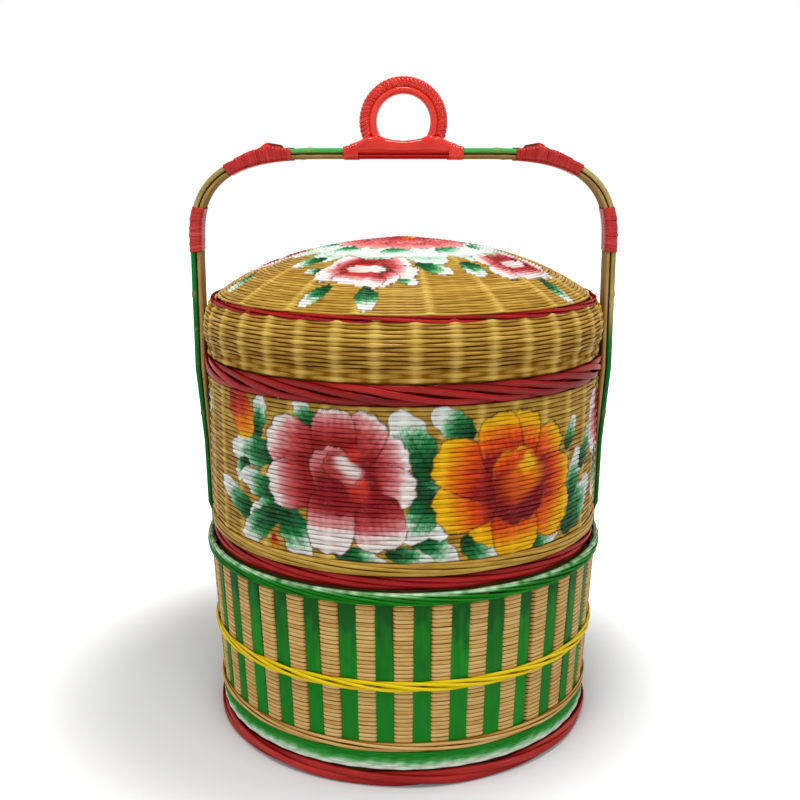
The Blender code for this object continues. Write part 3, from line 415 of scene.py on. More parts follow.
WALL_LEAVES = (  # base, tip and half breadth, in millimetres along the wall and up it
    ((48.0, 254.0), (18.0, 272.5), 9.5),
    ((39.0, 184.5), (64.8, 163.9), 9.5),
    ((88.0, 168.4), (122.1, 174.8), 7.0),
    ((134.5, 188.6), (148.9, 232.4), 9.0),
    ((126.8, 172.0), (172.7, 204.3), 12.0),
    ((128.7, 232.9), (141.2, 256.9), 6.0),
    ((150.7, 214.9), (176.2, 246.9), 8.0),
    ((4.0, 190.3), (36.7, 164.8), 10.0),
    ((-110.6, 244.4), (-106.1, 277.9), 7.0),
    ((-88.2, 238.0), (-143.0, 232.4), 11.5),
    ((-121.0, 228.0), (-136.0, 212.0), 7.0),
    ((-93.2, 206.5), (-129.5, 217.3), 9.5),
    ((-112.0, 186.4), (-160.9, 206.5), 9.0),
    ((-84.0, 200.0), (-121.0, 186.0), 10.5),
    ((-93.9, 195.9), (-128.7, 169.0), 10.0),
    ((-86.6, 203.0), (-68.5, 163.3), 12.5),
    ((-48.2, 174.0), (-10.4, 165.4), 7.0),
    ((-12.5, 175.7), (20.8, 167.0), 7.0),
    ((6.0, 230.8), (31.2, 216.2), 9.0),
    ((7.7, 222.1), (27.0, 184.0), 11.5),
    ((20.5, 214.5), (1.7, 181.4), 10.0),
    ((20.7, 226.1), (-6.2, 272.8), 13.0),
    ((-62.4, 256.7), (-75.0, 277.7), 6.5),
)
SPRAY_PERIOD = 473.8  # millimetres along the wall after which the painting comes again


def paint_wall(turn, height, radius):
    """The flowers round the upper tier, twice round it."""
    u = (turn * radius) / MM
    u = (u + 160.0) % SPRAY_PERIOD - 160.0
    canvas = Canvas(u, height / MM)
    for base, tip, half in WALL_LEAVES:
        canvas.leaf(base, tip, half)
    canvas.leaf((-138.5, 279.5), (-119.5, 243.5), 13.5, BUD_TONES, vein=False, belly=0.5)
    canvas.leaf((-96.8, 178.5), (-94.7, 167.6), 3.0, BUD_TONES, vein=False)
    flower(canvas, (-46.3, 225.8), PINK_PETALS, PINK_TONES)
    canvas.petal((-46.3, 224.0), 112.0, -24.0, 23.0, 16.0, BLUSH_TONES, 0.95, line=0.45)
    canvas.petal((-47.0, 220.0), -90.0, -12.0, 20.0, 14.0, HEART_DARK, line=0.0, soft=0.4)
    canvas.petal((-24.0, 219.0), -70.0, -20.0, 22.0, 9.0, HEART_DARK, line=0.0, soft=0.3)
    canvas.petal((-31.0, 221.0), -70.0, -11.0, 13.0, 7.0, RED_GLOW, line=0.0, soft=0.4)
    canvas.petal((-43.0, 233.0), -25.0, -12.0, 15.0, 8.5, BLUSH_TONES, 0.80, lobes=0.05, line=0.3, soft=0.2)
    for across, up, reach in ((-42.0, 238.5, 5.0), (-39.5, 235.3, 7.0), (-37.5, 232.1, 8.0), (-35.0, 228.9, 6.0)):
        canvas.petal((across, up), -6.0, -reach, reach, 2.2, WHITE_TONES, 0.75, power=2.0, line=0.0, soft=0.6)
    canvas.petal((-33.0, 243.0), -60.0, -5.0, 6.0, 5.0, RED_GLOW, line=0.0, soft=0.4)
    flower(canvas, (74.7, 218.0), ORANGE_PETALS, ORANGE_TONES)
    canvas.petal((82.0, 214.0), 100.0, -24.0, 29.0, 20.0, ORANGE_TONES, 1.05, line=0.35, soft=0.05)
    canvas.petal((86.0, 221.0), 35.0, -19.0, 15.0, 12.0, HEART_ORANGE, line=0.0, soft=0.35)
    canvas.petal((89.0, 230.0), 90.0, -7.0, 8.0, 3.2, HEART_YELLOW, line=0.0, soft=0.45)
    canvas.petal((89.0, 230.0), 0.0, -7.5, 7.5, 3.2, HEART_YELLOW, line=0.0, soft=0.45)
    canvas.petal((89.0, 230.0), 45.0, -6.0, 6.0, 2.6, HEART_YELLOW, line=0.0, soft=0.45)
    for place_at, heading, reach, half, bloom in (
        ((205.0, 246.0), 160.0, 36.0, 16.0, 0.72),
        ((205.0, 246.0), -150.0, 38.0, 17.0, 0.72),
        ((205.0, 246.0), 20.0, 34.0, 16.0, 0.74),
        ((205.0, 246.0), -60.0, 36.0, 16.0, 0.62),
    ):
        canvas.petal(place_at, heading, -10.0, reach, half, PINK_TONES, bloom)
    canvas.leaf((214.0, 226.0), (250.0, 196.0), 12.0)
    canvas.leaf((244.0, 250.0), (284.0, 258.0), 9.0)
    canvas.leaf((196.0, 222.0), (188.0, 180.0), 11.0)
    return canvas.result()


def flower(canvas, centre, petals, tones):
    for (across, up), heading, start, reach, half, bloom in petals:
        canvas.petal((centre[0] + across, centre[1] + up), heading, start, reach, half, tones, bloom)
DOME_PETALS = (  # heading from the flower's own right, start, reach, half breadth, and bloom
    (90.0, 4.0, 17.0, 14.0, 1.1),
    (35.0, 6.0, 31.0, 10.0, 0.66),
    (0.0, 8.0, 36.0, 9.5, 0.52),
    (145.0, 8.0, 32.0, 10.0, 0.62),
    (192.0, 8.0, 36.0, 11.0, 0.56),
    (318.0, 8.0, 28.0, 12.0, 0.60),
    (262.0, 5.0, 22.0, 19.0, 0.50),
)


DOME_FLOWERS = (-15.6, 58.0, 130.0, -98.0, -160.0)  # turns of the small flowers, in degrees
DOME_LEAVES = (  # base and tip as radius and turn, and half breadth
    ((115.7, -24.9), (137.8, -30.3), 5.5),
    ((116.6, -12.4), (139.3, -10.1), 6.5),
    ((102.6, -5.1), (112.4, 4.8), 4.0),
    ((84.7, 5.5), (100.8, 19.7), 6.5),
    ((82.7, 31.5), (107.0, 29.5), 7.5),
    ((78.7, -43.2), (97.6, -54.6), 6.5),
    ((99.1, -33.0), (102.2, -42.6), 3.5),
    ((114.2, 57.1), (141.8, 56.8), 6.0),
    ((100.9, 47.2), (109.3, 50.6), 3.5),
    ((112.0, 98.0), (138.0, 92.0), 6.0),
    ((112.0, 160.0), (138.0, 166.0), 6.0),
    ((112.0, -128.0), (136.0, -134.0), 6.0),
    ((112.0, -76.0), (136.0, -70.0), 6.0),
)


def on_plan(radius, degrees):
    """Millimetres right and back of the axis, seen from above."""
    return radius * math.sin(math.radians(degrees)), -radius * math.cos(math.radians(degrees))


def paint_dome(turn, height, radius):
    """The flowers on the dome, laid out as it is seen from above."""
    canvas = Canvas(radius * np.sin(turn) / MM, -radius * np.cos(turn) / MM)
    for heading in np.arange(12) * 30.0 + 10.0:
        canvas.leaf(on_plan(50.0, heading), on_plan(88.0, heading + 5.0), 14.5, PALE_LEAF_TONES)
    canvas.petal((0.0, 0.0), 0.0, -72.0, 72.0, 72.0, ((0.0, (0.84, 0.95, 0.86)), (1.0, (0.96, 0.99, 0.96))),
                 power=2.0, lobes=0.0, line=0.0, soft=0.05)
    for heading in np.arange(9) * 40.0 - 6.0:
        canvas.leaf(on_plan(48.0, heading - 3.0), on_plan(66.0, heading + 4.0), 11.5, PALE_LEAF_TONES, vein=False)
    for base, tip, half in DOME_LEAVES:
        canvas.leaf(on_plan(*base), on_plan(*tip), half * 1.15)
    for degrees in DOME_FLOWERS:
        centre = on_plan(93.2, degrees)
        for heading, start, reach, half, bloom in DOME_PETALS:
            canvas.petal(centre, heading + degrees, start, reach, half, PINK_TONES[1:], bloom, lobes=0.06, line=0.4)
        canvas.petal(centre, degrees, -18.0, 16.0, 8.5, HEART_RED, power=2.2, line=0.4)
        canvas.petal(centre, degrees, -15.0, 14.0, 5.5, WHITE_TONES, power=2.2, line=0.4)
    for heading in np.arange(8) * 45.0 + 15.0:
        canvas.petal((0.0, 0.0), heading, 8.0, 49.0, 20.0, ROSE_TONES, 0.66, lobes=0.06, line=0.5)
    for heading in np.arange(6) * 60.0 - 20.0:
        canvas.petal((0.0, 0.0), heading, 2.0, 28.0, 13.0, ROSE_TONES, 0.80, lobes=0.06, line=0.7)
    canvas.petal((0.0, 0.0), 0.0, -9.0, 9.0, 9.0, BUD_TONES, power=2.0, line=0.4)
    return canvas.result()


# Materials

def socket(tree, name, way, kind="NodeSocketFloat"):
    return tree.interface.new_socket(name=name, in_out=way, socket_type=kind)


def add(tree, kind, **settings):
    made = tree.nodes.new(kind)
    for name, value in settings.items():
        if name.startswith("in_"):
            made.inputs[int(name[3:])].default_value = value
        else:
            setattr(made, name, value)
    return made


def join(tree, source, target):
    tree.links.new(source, target)


def maths(tree, operation, first, second=None, third=None, clamp=False):
    """A maths step. Each value is a socket or a number."""
    made = add(tree, "ShaderNodeMath", operation=operation, use_clamp=clamp)
    for slot, value in enumerate((first, second, third)):
        if value is None:
            continue
        if isinstance(value, (int, float)):
            made.inputs[slot].default_value = value
        else:
            join(tree, value, made.inputs[slot])
    return made.outputs[0]


def spread(tree, value, low, high, to_low=0.0, to_high=1.0, smoothly=True):
    made = add(tree, "ShaderNodeMapRange", interpolation_type="SMOOTHSTEP" if smoothly else "LINEAR")
    join(tree, value, made.inputs["Value"])
    made.inputs["From Min"].default_value = low
    made.inputs["From Max"].default_value = high
    made.inputs["To Min"].default_value = to_low
    made.inputs["To Max"].default_value = to_high
    return made.outputs["Result"]


def blended(tree, share, first, second, mode="MIX"):
    """Two colours mixed. Each is a socket or a colour, and the share is a socket or a number."""
    made = add(tree, "ShaderNodeMix", data_type="RGBA", blend_type=mode)
    for place, value in ((0, share), (6, first), (7, second)):
        if isinstance(value, (int, float)):
            made.inputs[place].default_value = value
        elif isinstance(value, tuple):
            made.inputs[place].default_value = (*value, 1.0)
        else:
            join(tree, value, made.inputs[place])
    return made.outputs[2]


def ramp(tree, value, stops):
    made = add(tree, "ShaderNodeValToRGB")
    bar = made.color_ramp
    while len(bar.elements) < len(stops):
        bar.elements.new(0.5)
    for element, (at, colour) in zip(bar.elements, stops):
        element.position = at
        element.color = (*colour, 1.0)
    join(tree, value, made.inputs[0])
    return made.outputs[0]


def group_tree(name, inputs, outputs):
    tree = bpy.data.node_groups.new(name, "ShaderNodeTree")
    for label, kind in inputs:
        socket(tree, label, "INPUT", kind)
    for label, kind in outputs:
        socket(tree, label, "OUTPUT", kind)
    return tree, add(tree, "NodeGroupInput"), add(tree, "NodeGroupOutput")


def fibre_group():
    """Long fibres and slower tone changes, along each strand."""
    floats = [("Run Scale", "NodeSocketFloat"), ("Cross Scale", "NodeSocketFloat"), ("Blotch Scale", "NodeSocketFloat")]
    tree, given, out = group_tree(
        "strand_fibre",
        [("Strand", "NodeSocketVector")] + floats,
        [("Streak", "NodeSocketFloat"), ("Blotch", "NodeSocketFloat"), ("Strand Tone", "NodeSocketFloat")],
    )
    parts = add(tree, "ShaderNodeSeparateXYZ")
    join(tree, given.outputs["Strand"], parts.inputs[0])
    run, cross, seed = parts.outputs
    far_seed = maths(tree, "MULTIPLY", seed, 91.7)
    fine = add(tree, "ShaderNodeCombineXYZ")
    join(tree, maths(tree, "MULTIPLY", run, given.outputs["Run Scale"]), fine.inputs[0])
    join(tree, maths(tree, "MULTIPLY", cross, given.outputs["Cross Scale"]), fine.inputs[1])
    join(tree, far_seed, fine.inputs[2])
    streak = add(tree, "ShaderNodeTexNoise", noise_dimensions="3D")
    streak.inputs["Scale"].default_value = 1.0
    streak.inputs["Detail"].default_value = 4.0
    streak.inputs["Roughness"].default_value = 0.62
    join(tree, fine.outputs[0], streak.inputs["Vector"])
    slow = add(tree, "ShaderNodeCombineXYZ")
    join(tree, maths(tree, "MULTIPLY", run, given.outputs["Blotch Scale"]), slow.inputs[0])
    join(tree, far_seed, slow.inputs[1])
    blotch = add(tree, "ShaderNodeTexNoise", noise_dimensions="3D")
    blotch.inputs["Scale"].default_value = 1.0
    blotch.inputs["Detail"].default_value = 3.0
    join(tree, slow.outputs[0], blotch.inputs["Vector"])
    whole = add(tree, "ShaderNodeTexWhiteNoise", noise_dimensions="1D")
    join(tree, far_seed, whole.inputs["W"])
    join(tree, spread(tree, streak.outputs[0], 0.28, 0.72, smoothly=False), out.inputs["Streak"])
    join(tree, spread(tree, blotch.outputs[0], 0.3, 0.7, smoothly=False), out.inputs["Blotch"])
    join(tree, whole.outputs["Value"], out.inputs["Strand Tone"])
    return tree


def painted_light_group():
    """Painted shade on a strand: darker between its neighbours and behind what crosses it, lighter on a ridge, which is
    passed on for a painted highlight.
    """
    tree, given, out = group_tree(
        "strand_painted_light",
        [("Painted Light", "NodeSocketVector"), ("Edge Start", "NodeSocketFloat"), ("Depth Shade", "NodeSocketFloat")],
        [("Shade", "NodeSocketFloat"), ("Ridge", "NodeSocketFloat")],
    )
    parts = add(tree, "ShaderNodeSeparateXYZ")
    join(tree, given.outputs["Painted Light"], parts.inputs[0])
    edge, depth, ridge = parts.outputs
    edge_range = add(tree, "ShaderNodeMapRange", interpolation_type="SMOOTHSTEP")
    join(tree, edge, edge_range.inputs["Value"])
    join(tree, given.outputs["Edge Start"], edge_range.inputs["From Min"])
    edge_range.inputs["From Max"].default_value = 1.0
    sunk = maths(tree, "MULTIPLY", depth, given.outputs["Depth Shade"])
    lit = maths(tree, "SUBTRACT", 1.0, maths(tree, "MULTIPLY", edge_range.outputs[0], 0.72))
    join(tree, maths(tree, "MULTIPLY", lit, maths(tree, "SUBTRACT", 1.0, sunk)), out.inputs["Shade"])
    join(tree, ridge, out.inputs["Ridge"])
    return tree


def dust_group():
    """Fine specks and a soft uneven coat, by the place on the object."""
    tree, given, out = group_tree(
        "coat_unevenness",
        [("Scale", "NodeSocketFloat")],
        [("Speck", "NodeSocketFloat"), ("Cloud", "NodeSocketFloat")],
    )
    place = add(tree, "ShaderNodeTexCoord")
    for label, factor, low, high in (("Speck", 6.0, 0.55, 0.75), ("Cloud", 1.0, 0.3, 0.7)):
        noise = add(tree, "ShaderNodeTexNoise", noise_dimensions="3D")
        noise.inputs["Detail"].default_value = 3.0
        join(tree, place.outputs["Object"], noise.inputs["Vector"])
        join(tree, maths(tree, "MULTIPLY", given.outputs["Scale"], factor), noise.inputs["Scale"])
        join(tree, spread(tree, noise.outputs[0], low, high), out.inputs[label])
    return tree


FIBRE = fibre_group()
PAINTED_LIGHT = painted_light_group()
COAT = dust_group()


def placed(tree, group, **values):
    made = add(tree, "ShaderNodeGroup", node_tree=group)
    for name, value in values.items():
        made.inputs[name.replace("_", " ")].default_value = value
    return made


def read(tree, name, output="Vector"):
    made = add(tree, "ShaderNodeAttribute", attribute_name=name)
    return made.outputs[output]


def new_material(name):
    made = bpy.data.materials.new(name)
    made.use_nodes = True
    tree = made.node_tree
    shader = tree.nodes["Principled BSDF"]
    return made, tree, shader


def strand_parts(tree, run, cross, blotch, edge_start, depth_shade):
    """The fibre group and the painted light group, fed from the strand's own fields."""
    fibre = placed(tree, FIBRE, Run_Scale=run, Cross_Scale=cross, Blotch_Scale=blotch)
    join(tree, read(tree, "strand"), fibre.inputs["Strand"])
    painted_light = placed(tree, PAINTED_LIGHT, Edge_Start=edge_start, Depth_Shade=depth_shade)
    join(tree, read(tree, "painted_light"), painted_light.inputs["Painted Light"])
    return fibre, painted_light


def bumped(tree, shader, height, strength, distance):
    bump = add(tree, "ShaderNodeBump")
    bump.inputs["Strength"].default_value = strength
    bump.inputs["Distance"].default_value = distance
    join(tree, height, bump.inputs["Height"])
    join(tree, bump.outputs[0], shader.inputs["Normal"])


def cane_material(name, dark, middle, pale, painted=False, deep=0.75):
    """Varnished natural cane, with painted shade and a painted ridge highlight. Painted cane takes the colour that was
    worked out for each place on it.
    """
    made, tree, shader = new_material(name)
    fibre, painted_light = strand_parts(tree, 55.0, 2.6, 26.0, 0.66, deep)
    coat = placed(tree, COAT, Scale=70.0)
    mixed = maths(tree, "ADD", maths(tree, "MULTIPLY", fibre.outputs["Streak"], 0.42),
                  maths(tree, "MULTIPLY", fibre.outputs["Blotch"], 0.33))
    mixed = maths(tree, "ADD", mixed, maths(tree, "MULTIPLY", fibre.outputs["Strand Tone"], 0.25))
    cane = ramp(tree, mixed, ((0.12, dark), (0.5, middle), (0.9, pale)))
    # Painted highlight: the cane turns pale on the ridges over the stakes
    cane = blended(tree, maths(tree, "MULTIPLY", painted_light.outputs["Ridge"], 0.5), cane, pale)
    # Painted shade: darker at the strand's edges, on its back and where it lies sunk
    shaded = blended(tree, 1.0, cane, ramp(tree, painted_light.outputs["Shade"], (
        (0.0, (0.06, 0.022, 0.002)), (0.5, (0.58, 0.42, 0.20)), (1.0, (1.0, 1.0, 1.0)))), mode="MULTIPLY")
    if painted:
        cover = maths(tree, "MULTIPLY", read(tree, "paint", "Alpha"),
                      spread(tree, coat.outputs["Speck"], 0.0, 1.0, 1.0, 0.88))
        paint = blended(tree, maths(tree, "MULTIPLY", fibre.outputs["Streak"], 0.05), read(tree, "paint", "Color"),
                        (0.10, 0.03, 0.01))
        # Softer painted shade over the paint
        paint = blended(tree, 1.0, paint, ramp(tree, painted_light.outputs["Shade"], (
            (0.0, (0.36, 0.24, 0.20)), (0.5, (0.82, 0.75, 0.72)), (1.0, (1.0, 1.0, 1.0)))), mode="MULTIPLY")
        shaded = blended(tree, cover, shaded, paint)
    join(tree, shaded, shader.inputs["Base Color"])
    rough = spread(tree, maths(tree, "ADD", fibre.outputs["Streak"], coat.outputs["Cloud"]), 0.2, 1.8, 0.18, 0.38)
    join(tree, rough, shader.inputs["Roughness"])
    shader.inputs["Specular IOR Level"].default_value = 0.0
    join(tree, spread(tree, painted_light.outputs["Shade"], 0.4, 1.0, 0.0, 0.24), shader.inputs["Coat Weight"])
    shader.inputs["Coat Roughness"].default_value = 0.05
    bumped(tree, shader, fibre.outputs["Streak"], 0.35, 0.15 * MM)
    return made


def lacquer_material(name, dark, middle, pale, painted=False, gloss=0.12, deep=0.6, edge_start=0.6, coated=0.25):
    """Gloss lacquer brushed on cane, with painted shade in the hollows between strands that is lighter on the ridges.
    """
    made, tree, shader = new_material(name)
    fibre, painted_light = strand_parts(tree, 30.0, 3.2, 18.0, edge_start, deep)
    coat = placed(tree, COAT, Scale=60.0)
    mixed = maths(tree, "ADD", maths(tree, "MULTIPLY", fibre.outputs["Streak"], 0.35),
                  maths(tree, "MULTIPLY", fibre.outputs["Blotch"], 0.35))
    mixed = maths(tree, "ADD", mixed, maths(tree, "MULTIPLY", fibre.outputs["Strand Tone"], 0.3))
    colour = ramp(tree, mixed, ((0.15, dark), (0.55, middle), (0.95, pale)))
    if painted:
        colour = blended(tree, read(tree, "paint", "Alpha"), colour, read(tree, "paint", "Color"))
    # Painted shade: darker at the strand's edges and where it lies sunk
    shaded = blended(tree, 1.0, colour, ramp(tree, painted_light.outputs["Shade"], (
        (0.0, (0.10, 0.03, 0.02)), (0.5, (0.60, 0.48, 0.45)), (1.0, (1.0, 1.0, 1.0)))), mode="MULTIPLY")
    join(tree, shaded, shader.inputs["Base Color"])
    join(tree, spread(tree, coat.outputs["Cloud"], 0.0, 1.0, gloss, gloss + 0.12), shader.inputs["Roughness"])
    shader.inputs["Specular IOR Level"].default_value = 0.0
    join(tree, spread(tree, painted_light.outputs["Shade"], 0.3, 1.0, 0.0, coated), shader.inputs["Coat Weight"])
    shader.inputs["Coat Roughness"].default_value = 0.04
    bumped(tree, shader, maths(tree, "ADD", fibre.outputs["Streak"], coat.outputs["Cloud"]), 0.22, 0.12 * MM)
    return made


def plain_cane_material(name, dark, pale, plaited=False):
    """Split bamboo on the CAD's own hoops and floors, which carry no strand fields."""
    made, tree, shader = new_material(name)
    place = add(tree, "ShaderNodeTexCoord")
    parts = add(tree, "ShaderNodeSeparateXYZ")
    join(tree, place.outputs["Object"], parts.inputs[0])
    x, y, z = parts.outputs
    if plaited:
        rows = add(tree, "ShaderNodeTexWave", wave_type="BANDS", bands_direction="X", wave_profile="SIN")
        rows.inputs["Scale"].default_value = 70.0
        rows.inputs["Distortion"].default_value = 0.4
        columns = add(tree, "ShaderNodeTexWave", wave_type="BANDS", bands_direction="Y", wave_profile="SIN")
        columns.inputs["Scale"].default_value = 70.0
        columns.inputs["Distortion"].default_value = 0.4
        checks = add(tree, "ShaderNodeTexChecker")
        checks.inputs["Scale"].default_value = 140.0
        for made_node in (rows, columns, checks):
            join(tree, place.outputs["Object"], made_node.inputs["Vector"])
        height = blended(tree, checks.outputs["Fac"], rows.outputs["Color"], columns.outputs["Color"])
        share = spread(tree, height, 0.0, 1.0, 0.15, 0.95)
    else:
        ring = add(tree, "ShaderNodeCombineXYZ")
        join(tree, maths(tree, "MULTIPLY", maths(tree, "ARCTAN2", y, x), 9.0), ring.inputs[0])
        join(tree, maths(tree, "MULTIPLY", z, 1400.0), ring.inputs[1])
        noise = add(tree, "ShaderNodeTexNoise")
        noise.inputs["Scale"].default_value = 1.0
        noise.inputs["Detail"].default_value = 4.0
        join(tree, ring.outputs[0], noise.inputs["Vector"])
        share = spread(tree, noise.outputs[0], 0.3, 0.7)
        height = noise.outputs[0]
    coat = placed(tree, COAT, Scale=40.0)
    colour = ramp(tree, share, ((0.0, dark), (1.0, pale)))
    colour = blended(tree, maths(tree, "MULTIPLY", coat.outputs["Cloud"], 0.35), colour, dark)
    join(tree, colour, shader.inputs["Base Color"])
    join(tree, spread(tree, coat.outputs["Cloud"], 0.0, 1.0, 0.34, 0.52), shader.inputs["Roughness"])
    bumped(tree, shader, height, 0.5, (0.6 if plaited else 0.15) * MM)
    return made


# Natural cane's tones sit a little below the painted cane's, as painted shade for the lid band and bare rows, which
# catch less top light than the dome
NATURAL = cane_material("varnished_cane", (0.25, 0.11, 0.009), (0.54, 0.32, 0.042), (0.88, 0.62, 0.14))
PAINTED = cane_material("painted_cane", (0.26, 0.115, 0.009), (0.57, 0.34, 0.046), (0.88, 0.63, 0.14), painted=True)
TAWNY = cane_material("tawny_cane", (0.52, 0.24, 0.04), (0.82, 0.51, 0.16), (0.96, 0.73, 0.33), deep=0.9)
RED = lacquer_material("red_lacquered_cane", (0.24, 0.002, 0.002), (0.50, 0.009, 0.008), (0.74, 0.04, 0.035))
SCARLET = lacquer_material("scarlet_lacquered_cane", (0.58, 0.010, 0.006), (0.82, 0.035, 0.016), (0.95, 0.10, 0.06),
                           deep=0.45, edge_start=0.8, coated=0.6)
KNOT_RED = lacquer_material("wound_red_cane", (0.34, 0.008, 0.008), (0.58, 0.030, 0.024), (0.82, 0.13, 0.10),
                            coated=0.3)
# A darker copy of the red lacquer, as painted shade for the upper rim cord under the lid
RED_IN_LID_SHADE = lacquer_material("deep_red_cane", (0.18, 0.002, 0.002), (0.38, 0.007, 0.005), (0.60, 0.025, 0.018),
                            coated=0.3)
GREEN = lacquer_material("green_lacquered_bamboo", (0.002, 0.10, 0.002), (0.005, 0.23, 0.005),
                         (0.018, 0.42, 0.020), painted=True, gloss=0.08, edge_start=0.85, coated=0.16)
YELLOW = lacquer_material("yellow_lacquered_cane", (0.98, 0.62, 0.001), (1.0, 0.78, 0.003), (1.0, 0.90, 0.06),
                          deep=0.4, edge_start=0.9)
STRIP = lacquer_material("handle_strip", (0.32, 0.19, 0.05), (0.62, 0.43, 0.16), (0.84, 0.66, 0.36),
                         painted=True, gloss=0.34, coated=0.03)
HOOP = plain_cane_material("split_hoop", (0.10, 0.05, 0.012), (0.24, 0.13, 0.035))
PLAIT = plain_cane_material("plaited_floor", (0.16, 0.075, 0.02), (0.56, 0.34, 0.11), plaited=True)


# Woven walls

def woven(name, rows, stations, pattern, sections, paint, body, replaced=(), picture=None, seed=0):
    """Rows of weft round the basket. Each row is radius, height and the wall's outward slope there.

    pattern(turn, row numbers) gives how far out each place lies, how deep it is sunk, how much it ridges, and
    the share between the two sections, the full one first.
    """
    angle = turns(stations)
    radial = turn_of(angle)
    radius, height, slope = (np.array([row[i] for row in rows]) for i in range(3))
    number = np.arange(len(rows))
    rng = np.random.default_rng(seed)
    seeds = rng.uniform(0.0, 1.0, len(rows))
    out, depth, ridge, pinch = pattern(angle[None, :], number[:, None])
    drift = np.stack([wander(angle, seed * 100 + k) for k in number]) * 0.12 * MM
    normal_r, normal_z = np.cos(slope)[:, None], np.sin(slope)[:, None]
    full, narrow = sections
    cut = full + (narrow - full) * pinch[..., None, None]
    off = out[..., None] + cut[..., 0]
    lift = drift[..., None] + cut[..., 1]
    r = radius[:, None, None] + off * normal_r[..., None] - lift * normal_z[..., None]
    z = height[:, None, None] + off * normal_z[..., None] + lift * normal_r[..., None]
    points = r[..., None] * radial[None, :, None, :] + z[..., None] * UP
    along = angle[None, :] * radius[:, None]
    # depth and ridge set the painted shade and painted highlight of each point
    fields = strand_fields(points, along, seeds, depth, ridge)
    colour = None
    if picture:
        full_turn = np.broadcast_to(angle[None, :, None], r.shape)
        colour = picture(full_turn, z, np.broadcast_to(radius[:, None, None], r.shape))
        colour[..., 3] = colour[..., 3] * smooth(cut[..., 0], -0.75 * MM, -0.40 * MM)
    return strands(name, points, True, paint, body, replaced, fields, colour)


def plain_weave(stakes, alternate, ridge_height, ridge_width, pinch=1.0, gloom=0.35, start=0.0, every=1):
    """Every row comes out over each stake, and more over every second one.

    The ridges stand out most at one stake in every so many, counted from the turn start.
    """
    def pattern(angle, row):
        phase = (angle - start) / math.tau * stakes
        nearest = np.round(phase)
        away = np.abs(phase - nearest)
        bump = np.exp(-(away / ridge_width) ** 2) * np.where(np.mod(nearest, every) == 0, 1.0, 0.2)
        wave = np.cos(math.pi * phase + math.pi * row)
        out = alternate * wave + ridge_height * bump
        # Painted shade: darker where the row dips in behind a stake and between stakes, less on the ridges, where the
        # ridge share sets a painted highlight
        depth = smooth(-wave, 0.1, 1.0) * gloom * (1.0 - 0.8 * bump) + 0.5 * gloom * (1.0 - bump)
        return out, depth, bump * (0.75 + 0.25 * wave), pinch * (1.0 - bump)
    return pattern


def slatted_weave(angle, row):
    """Every row comes out in each gap between slats, over their edges, and goes in behind each slat."""
    phase = angle / math.tau * SLATS
    away = np.abs(phase - np.round(phase)) * 2.0
    shown = 1.0 - smooth(away, 0.50, 0.62)
    out = (1.75 + 0.3 * np.cos(away * 2.4)) * MM * shown + 0.0 * row
    # Painted shade where the row turns in behind the slats' edges
    depth = smooth(away, 0.46, 0.60) * 0.45 + 0.0 * row
    return out, depth, np.zeros_like(out), smooth(away, 0.40, 0.58) + 0.0 * row


def base_wall_radius(height):
    share = (height - BASE_WALL_LOW) / (BASE_WALL_HIGH - BASE_WALL_LOW)
    return BASE_WALL_FOOT_RADIUS + (BASE_WALL_TOP_RADIUS - BASE_WALL_FOOT_RADIUS) * share


def along_profile(profile, pitch):
    """Rows at an even pitch up a wall's profile, with the slope of its outward normal."""
    profile = np.array(profile)
    steps = np.hypot(*np.diff(profile, axis=0).T)
    run = np.concatenate([[0.0], np.cumsum(steps)])
    count = max(2, round(run[-1] / pitch))
    at = (np.arange(count) + 0.5) / count * run[-1]
    radius = np.interp(at, run, profile[:, 0])
    height = np.interp(at, run, profile[:, 1])
    rise = np.gradient(height, at)
    spread_out = np.gradient(radius, at)
    slope = np.arctan2(-spread_out, rise)
    return [(r, z, s) for r, z, s in zip(radius, height, slope)]


# Twisted cords and parallel rows

def cord(name, radius, height, count, twists, section, swing, paint, body, replaced=(), seed=0, colour=None,
         power=2.0, crisp=0.0):
    """Canes twisted round each other into a ring. swing is how far each goes out and up from the middle.

    A high power lays them over a flat belt, and a crisp lay keeps them apart between quick crossings.
    """
    angle = turns(CORD_STATIONS)
    radial = turn_of(angle)
    grids, depths = [], []
    for number in range(count):
        phase = math.tau * number / count - twists * angle
        phase = phase + 0.10 * wander(angle, seed * 31 + number, (2, 5, 9))
        thick = 1.0 + 0.06 * wander(angle, seed * 57 + number, (4, 11, 17))
        out, up = np.cos(phase), np.sin(phase)
        size = (np.abs(out) ** power + np.abs(up) ** power) ** (1.0 / power)
        out, up = out / size, up / size
        if crisp:
            up = np.tanh(crisp * up) / math.tanh(crisp)
        r = radius + swing[0] * out
        z = height + swing[1] * up
        r = r[:, None] + section[None, :, 0]
        z = z[:, None] + section[None, :, 1] * thick[:, None]
        grids.append(r[..., None] * radial[:, None, :] + z[..., None] * UP)
        # Painted shade on each cane where it turns in behind the others
        depths.append((1.0 - out) / 2.0)
    points = np.stack(grids)
    depth = smooth(np.stack(depths), 0.35, 0.95)
    along = np.broadcast_to(angle * radius, depth.shape)
    seeds = np.random.default_rng(seed).uniform(0.0, 1.0, count)
    fields = strand_fields(points, along, seeds, depth * 0.7, np.zeros_like(depth))
    shades = colour(points) if colour else None
    return strands(name, points, True, paint, body, replaced, fields, shades)


def edge_highlight(tint, low, high, strength, seed):
    """A painted highlight along one edge of a band: a paler colour fading from high to low."""
    def colour(points):
        height = points[..., 2]
        angle = np.arctan2(points[..., 0], -points[..., 1])
        cover = smooth(height, low, high) * strength
        cover = cover * (0.65 + 0.35 * wander(angle, seed, (5, 17, 43, 71, 110)))
        shades = np.broadcast_to(np.array(tint), (*cover.shape, 3))
        return np.concatenate([shades, np.clip(cover, 0.0, 1.0)[..., None]], axis=-1)
    return colour


def bare(points):
    return np.zeros((*points.shape[:-1], 4))


# Lower tier

